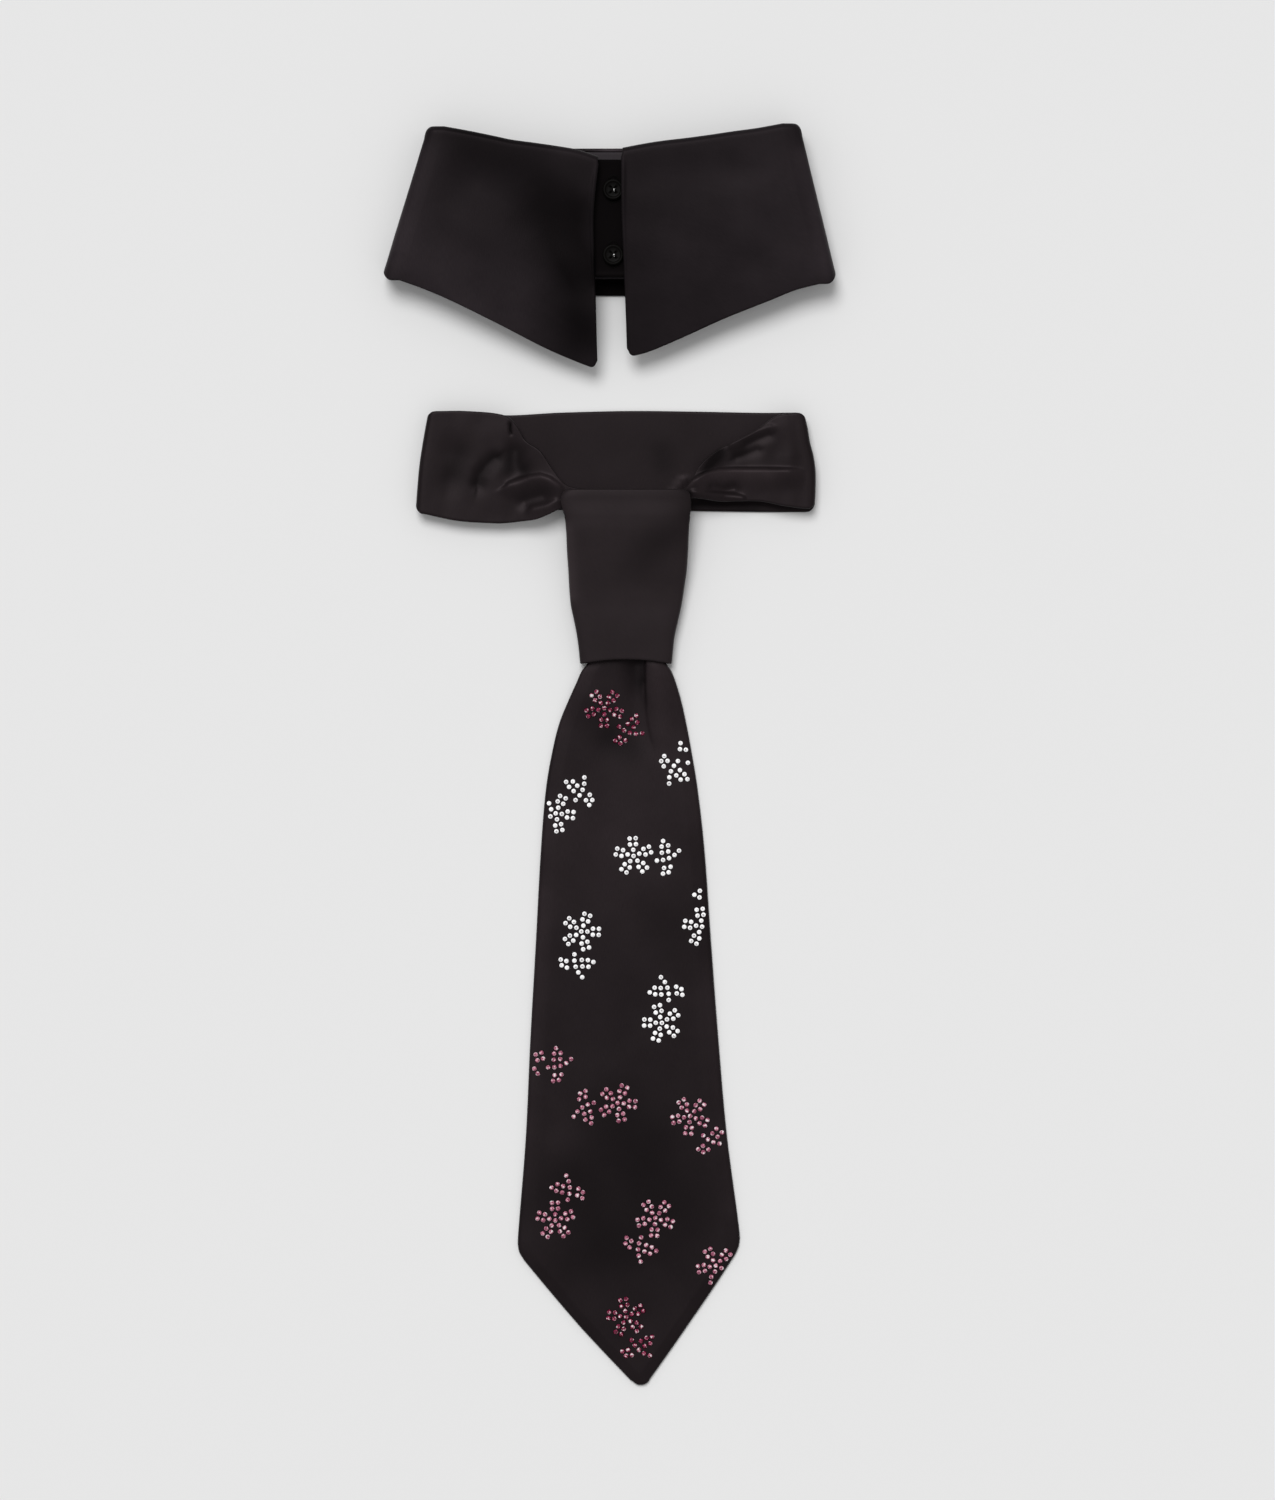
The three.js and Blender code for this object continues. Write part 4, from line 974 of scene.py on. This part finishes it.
def button_stitch(name, y):
    """Two rows of three threads across the button's holes, the middle thread a little higher."""
    at = collar_at + (BUTTON.line, y, button_z)
    paths = []
    for side in (-1, 1):
        for lane in (-0.24, 0, 0.24):
            x = np.full(6, side * BUTTON.hole_out + lane)
            raised = 0.1 * (lane == 0) * (THREAD["height"] > 1.5)
            paths.append(at + np.stack([x, THREAD["along"], THREAD["height"] + raised], 1))
    return strand(name, paths, THREAD_RADIUS.button)


def painted_glint(name, y):
    """A painted glint: a white speck between the holes, a painted highlight on the button."""
    at = collar_at + (BUTTON.line + 0.4, y, button_z + 1.9)
    paths = [[at + (-0.25, 0, 0), at + (0.25, 0.05, 0.05)], [at + (0, -0.8, 0), at + (0.1, -0.7, 0)]]
    return strand(name, paths, THREAD_RADIUS.end)


def hole_stitch(name, y):
    """Close stitching round a buttonhole."""
    middle = y + HOLE.above - HOLE.length / 2
    at = collar_at + (BUTTON.line, middle, stand_over + COLLAR.cloth / 2)
    half, width = HOLE.length / 2, HOLE.width / 2
    paths = []
    for side in (-1, 1):
        for along in np.arange(-half + width, half - width, HOLE.stitch):
            out = side * (width + EDGE_STITCH["out"])
            paths.append(at + np.stack([out, along + EDGE_STITCH["along"], EDGE_STITCH["height"]], 1))
    for end in (-1, 1):
        for turn in np.linspace(0, math.pi, 11):
            out = width + END_STITCH["out"]
            along = end * (half - width + out * math.sin(turn))
            paths.append(at + np.stack([out * math.cos(turn), along, END_STITCH["height"]], 1))
    return strand(name, paths, THREAD_RADIUS.hole, 6)


# Materials.
def new_material(name):
    """A new material with its nodes and its shader."""
    material = bpy.data.materials.new(name)
    material.use_nodes = True
    nodes = material.node_tree.nodes
    return material, nodes, nodes["Principled BSDF"]


def set_inputs(node, **inputs):
    """Sets some of a node's inputs. An underscore in a name stands for a blank."""
    for name, value in inputs.items():
        node.inputs[name.replace("_", " ")].default_value = value
    return node


def add_node(nodes, kind, **inputs):
    """A new shader node with some of its inputs set."""
    return set_inputs(nodes.new("ShaderNode" + kind), **inputs)


def join(source, output, target, place):
    """Joins an output of one node to an input of another."""
    source.id_data.links.new(source.outputs[output], target.inputs[place])


def add_ramp(nodes, *stops):
    """A colour ramp, from places along it and their colours."""
    ramp = nodes.new("ShaderNodeValToRGB")
    elements = ramp.color_ramp.elements
    for k, (place, colour) in enumerate(stops):
        stop = elements[k] if k < 2 else elements.new(place)
        stop.position = place
        stop.color = (*colour, 1)
    return ramp


def add_bump(nodes, source, shader, strength, distance):
    """Relief from a texture, so many millimetres deep."""
    bump = add_node(nodes, "Bump", Strength=strength, Distance=distance * MM)
    join(source, "Fac", bump, "Height")
    join(bump, "Normal", shader, "Normal")


def cloth_material(name, dark, light, roughness, gleam, sheen):
    """Woven satin: fine warp floats along the cloth, slow unevenness of colour and gloss."""
    material, nodes, shader = new_material(name)
    set_inputs(shader, Specular_IOR_Level=gleam, Specular_Tint=(1, 0.83, 0.88, 1))
    set_inputs(shader, Sheen_Weight=sheen, Sheen_Roughness=0.4)
    place = add_node(nodes, "TexCoord")
    stretch = add_node(nodes, "Mapping", Scale=(1 / (FLOAT.wide * MM), 1 / (FLOAT.long * MM), 1))
    join(place, "UV", stretch, "Vector")
    floats = add_node(nodes, "TexNoise", Scale=1, Detail=2)
    join(stretch, "Vector", floats, "Vector")
    slow = add_node(nodes, "TexNoise", Scale=1 / (FLOAT.uneven * MM), Detail=3)
    join(place, "Object", slow, "Vector")
    half = add_node(nodes, "Math")
    half.operation = "MULTIPLY"
    half.inputs[1].default_value = 1 - FLOAT.share
    join(slow, "Fac", half, 0)
    blend = add_node(nodes, "Math")
    blend.operation = "MULTIPLY_ADD"
    blend.inputs[1].default_value = FLOAT.share
    join(floats, "Fac", blend, 0)
    join(half, 0, blend, 2)
    ramp = add_ramp(nodes, (0.32, dark), (0.68, light))
    join(blend, 0, ramp, "Fac")
    # The base colour is multiplied by the painted light and shade that each piece carries.
    painted_shading = add_node(nodes, "Attribute")
    painted_shading.attribute_name = "painted_shading"
    toned = add_node(nodes, "VectorMath")
    toned.operation = "MULTIPLY"
    join(ramp, "Color", toned, 0)
    join(painted_shading, "Fac", toned, 1)
    join(toned, "Vector", shader, "Base Color")
    gloss = add_node(nodes, "MapRange", To_Min=roughness - 0.05, To_Max=roughness + 0.05)
    join(slow, "Fac", gloss, "Value")
    join(gloss, "Result", shader, "Roughness")
    add_bump(nodes, floats, shader, 0.3, 0.12)
    return material


def stone_material(name, colour, deep, metal, painted_glow=0.0):
    """Foil-backed cut glass with painted reflections: noise picks darker facets and white sparkle. The
    glow is painted light, an emission that brightens the stone.
    """
    material, nodes, shader = new_material(name)
    set_inputs(shader, Metallic=metal, Roughness=0.12, Coat_Weight=0.6, Coat_Roughness=0.03)
    set_inputs(shader, Emission_Color=(1, 0.99, 0.99, 1), Emission_Strength=painted_glow)
    place = add_node(nodes, "TexCoord")
    cells = add_node(nodes, "TexNoise", Scale=1 / (1.1 * MM))
    join(place, "Object", cells, "Vector")
    painted_sparkle = [mix(c, 1, 0.85) for c in colour]
    ramp = add_ramp(nodes, (0.42, deep), (0.54, colour), (0.61, painted_sparkle))
    join(cells, "Fac", ramp, "Fac")
    join(ramp, "Color", shader, "Base Color")
    return material


def plain_material(name, colour, roughness, mottle, scale, gleam=0.5):
    """One colour with a little mottle, its patches about the scale's millimetres across."""
    material, nodes, shader = new_material(name)
    set_inputs(shader, Specular_IOR_Level=gleam, Roughness=roughness)
    place = add_node(nodes, "TexCoord")
    noise = add_node(nodes, "TexNoise", Scale=1 / (scale * MM), Detail=4)
    join(place, "Object", noise, "Vector")
    darker = [c * (1 - mottle) for c in colour]
    lighter = [min(1, c * (1 + mottle)) for c in colour]
    ramp = add_ramp(nodes, (0, darker), (1, lighter))
    join(noise, "Fac", ramp, "Fac")
    join(ramp, "Color", shader, "Base Color")
    add_bump(nodes, noise, shader, 0.2, 0.05)
    return material


# The weave's floats and its slow unevenness, and the share of the floats in the colour.
FLOAT = SimpleNamespace(wide=0.32, long=3.2, uneven=22, share=0.45)
SATIN = {"roughness": 0.4, "gleam": 0.1, "sheen": 0.01}
CREPE = {"roughness": 0.4, "gleam": 0.045, "sheen": 0.004}
satin = cloth_material("satin", (0.0083, 0.006, 0.0066), (0.0123, 0.0092, 0.0101), **SATIN)
# The knot's satin is a lighter copy of the band's satin, painted light, and the blade's is a slightly
# darker copy, painted shade.
painted_lighter_knot = cloth_material("knot_satin_painted_lighter", (0.016, 0.0124, 0.0134), (0.021, 0.0163, 0.0176), 0.42, 0.08, 0.01)
panel = cloth_material("blade_satin_painted_darker", (0.0075, 0.0054, 0.006), (0.0115, 0.0085, 0.0094), **SATIN)
crepe = cloth_material("collar_satin", (0.0088, 0.007, 0.008), (0.0137, 0.0109, 0.0123), **CREPE)
# Painted shade: the stand and the fall's inner face take a near-black copy of the cloth for the shade
# between the collar's layers.
painted_shade_cloth = cloth_material("stand_cloth", (0.0019, 0.0016, 0.0017), (0.0027, 0.0022, 0.0023), 0.6, 0.02, 0)
# Painted light: the stand's inner face, where the gap between the leaves shows the back, takes a lighter
# copy.
painted_light_facing = cloth_material("stand_facing_painted_light", (0.03, 0.026, 0.029), (0.04, 0.035, 0.039), 0.5, 0.06, 0)
resin = plain_material("button_resin", (0.0026, 0.0022, 0.002), 0.45, 0.25, 3, gleam=0.045)
thread = plain_material("thread", (0.0022, 0.002, 0.0017), 0.7, 0.3, 0.4, gleam=0.09)
# Painted highlight: a white material for the glint specks on the buttons.
painted_glint_white = plain_material("painted_glint", (0.95, 0.95, 0.93), 0.5, 0.05, 0.4)
# The stones carry painted reflections: dark tables and facets, light sparkle, and on the white stones a
# painted glow.
glass = {
    "white": [
        stone_material("stone_white", (0.97, 0.96, 0.97), (0.85, 0.84, 0.85), metal=0, painted_glow=0.28),
        stone_material("stone_white_table", (0.95, 0.94, 0.95), (0.3, 0.29, 0.3), metal=0.1, painted_glow=0.06),
    ],
    "pink": [
        stone_material("stone_pink", (0.8, 0.34, 0.46), (0.36, 0.09, 0.16), metal=0.1),
        stone_material("stone_pink_table", (0.78, 0.28, 0.4), (0.24, 0.05, 0.1), metal=0.3),
    ],
    "crimson": [
        stone_material("stone_crimson", (0.5, 0.045, 0.15), (0.12, 0.005, 0.025), metal=0.1),
        stone_material("stone_crimson_table", (0.42, 0.03, 0.11), (0.09, 0.004, 0.02), metal=0.3),
    ],
}


def fit_out(piece, material, slot, *nodes):
    """Gives a piece its material and body, and hides the solids that it stands for. Its slot is not used.
    """
    if material:
        piece.data.materials.append(material)
    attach(piece, "root")
    if nodes:
        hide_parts(*nodes)
    return piece


fall = fit_out(collar_fall(), crepe, "collar_cloth", "collar_fall")
# The fall's inner face takes the painted shade cloth.
fall.data.materials.append(painted_shade_cloth)
stand = fit_out(collar_stand(), painted_shade_cloth, "collar_cloth", "collar_stand")
# The stand's inner face takes the painted light facing.
stand.data.materials.append(painted_light_facing)
band = fit_out(neck_band(), satin, "tie_satin", "neck_band")
knot = fit_out(tie_knot(), painted_lighter_knot, "tie_satin", "tie_knot")
blade = fit_out(tie_blade(), panel, "tie_satin", "tie_blade")
for which, y in (("upper", -BUTTON.first), ("lower", -BUTTON.first - BUTTON.pitch)):
    fit_out(button("button_" + which + "_turned", y), resin, "button_resin", "button_" + which)
    fit_out(button_stitch("button_" + which + "_stitch", y), thread, "sewing_thread")
    fit_out(hole_stitch("buttonhole_" + which + "_stitch", y), thread, "sewing_thread")
    # A painted glint on each button.
    fit_out(painted_glint("button_" + which + "_painted_glint", y), painted_glint_white, "sewing_thread")
    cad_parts["button_thread_" + which].data.materials.clear()
    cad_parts["button_thread_" + which].data.materials.append(thread)
for kind in glass:
    fit_out(stones(kind), None, "tie_satin")
# The painted shade rings round the stones take the painted shade cloth.
fit_out(stone_painted_shadow_rings(), painted_shade_cloth, "tie_satin")

# Floor, light and camera, in metres.
bpy.ops.mesh.primitive_plane_add(size=6, location=(0, 0, -0.0002))
floor = bpy.context.active_object
floor.name = "floor"
floor.data.materials.append(plain_material("floor_paper", (0.8, 0.8, 0.8), 0.9, 0.004, 300))

world = bpy.data.worlds.new("studio")
bpy.context.scene.world = world
world.use_nodes = True
sky = world.node_tree.nodes
direction = add_node(sky, "TexCoord")
split = add_node(sky, "SeparateXYZ")
join(direction, "Generated", split, "Vector")
shade = add_ramp(sky, (0.1, (0.35, 0.35, 0.35)), (0.6, (0.7, 0.7, 0.7)))
join(split, "Z", shade, "Fac")
join(shade, "Color", sky["Background"], "Color")
set_inputs(sky["Background"], Strength=0.72)

sun = bpy.data.lights.new("window", "SUN")
sun.energy = 1.86
sun.angle = math.radians(31)
lamp = bpy.data.objects.new("window", sun)
lamp.rotation_euler = (math.radians(-26), math.radians(-10), 0)
bpy.context.scene.collection.objects.link(lamp)

camera = bpy.data.cameras.new("camera")
camera.sensor_fit = "VERTICAL"
camera.sensor_height = 36
camera.lens = 120
view = bpy.data.objects.new("camera", camera)
view.location = (0.01335, 0.0029, 2.406)
bpy.context.scene.collection.objects.link(view)
bpy.context.scene.camera = view
bpy.context.scene.view_settings.view_transform = "Standard"
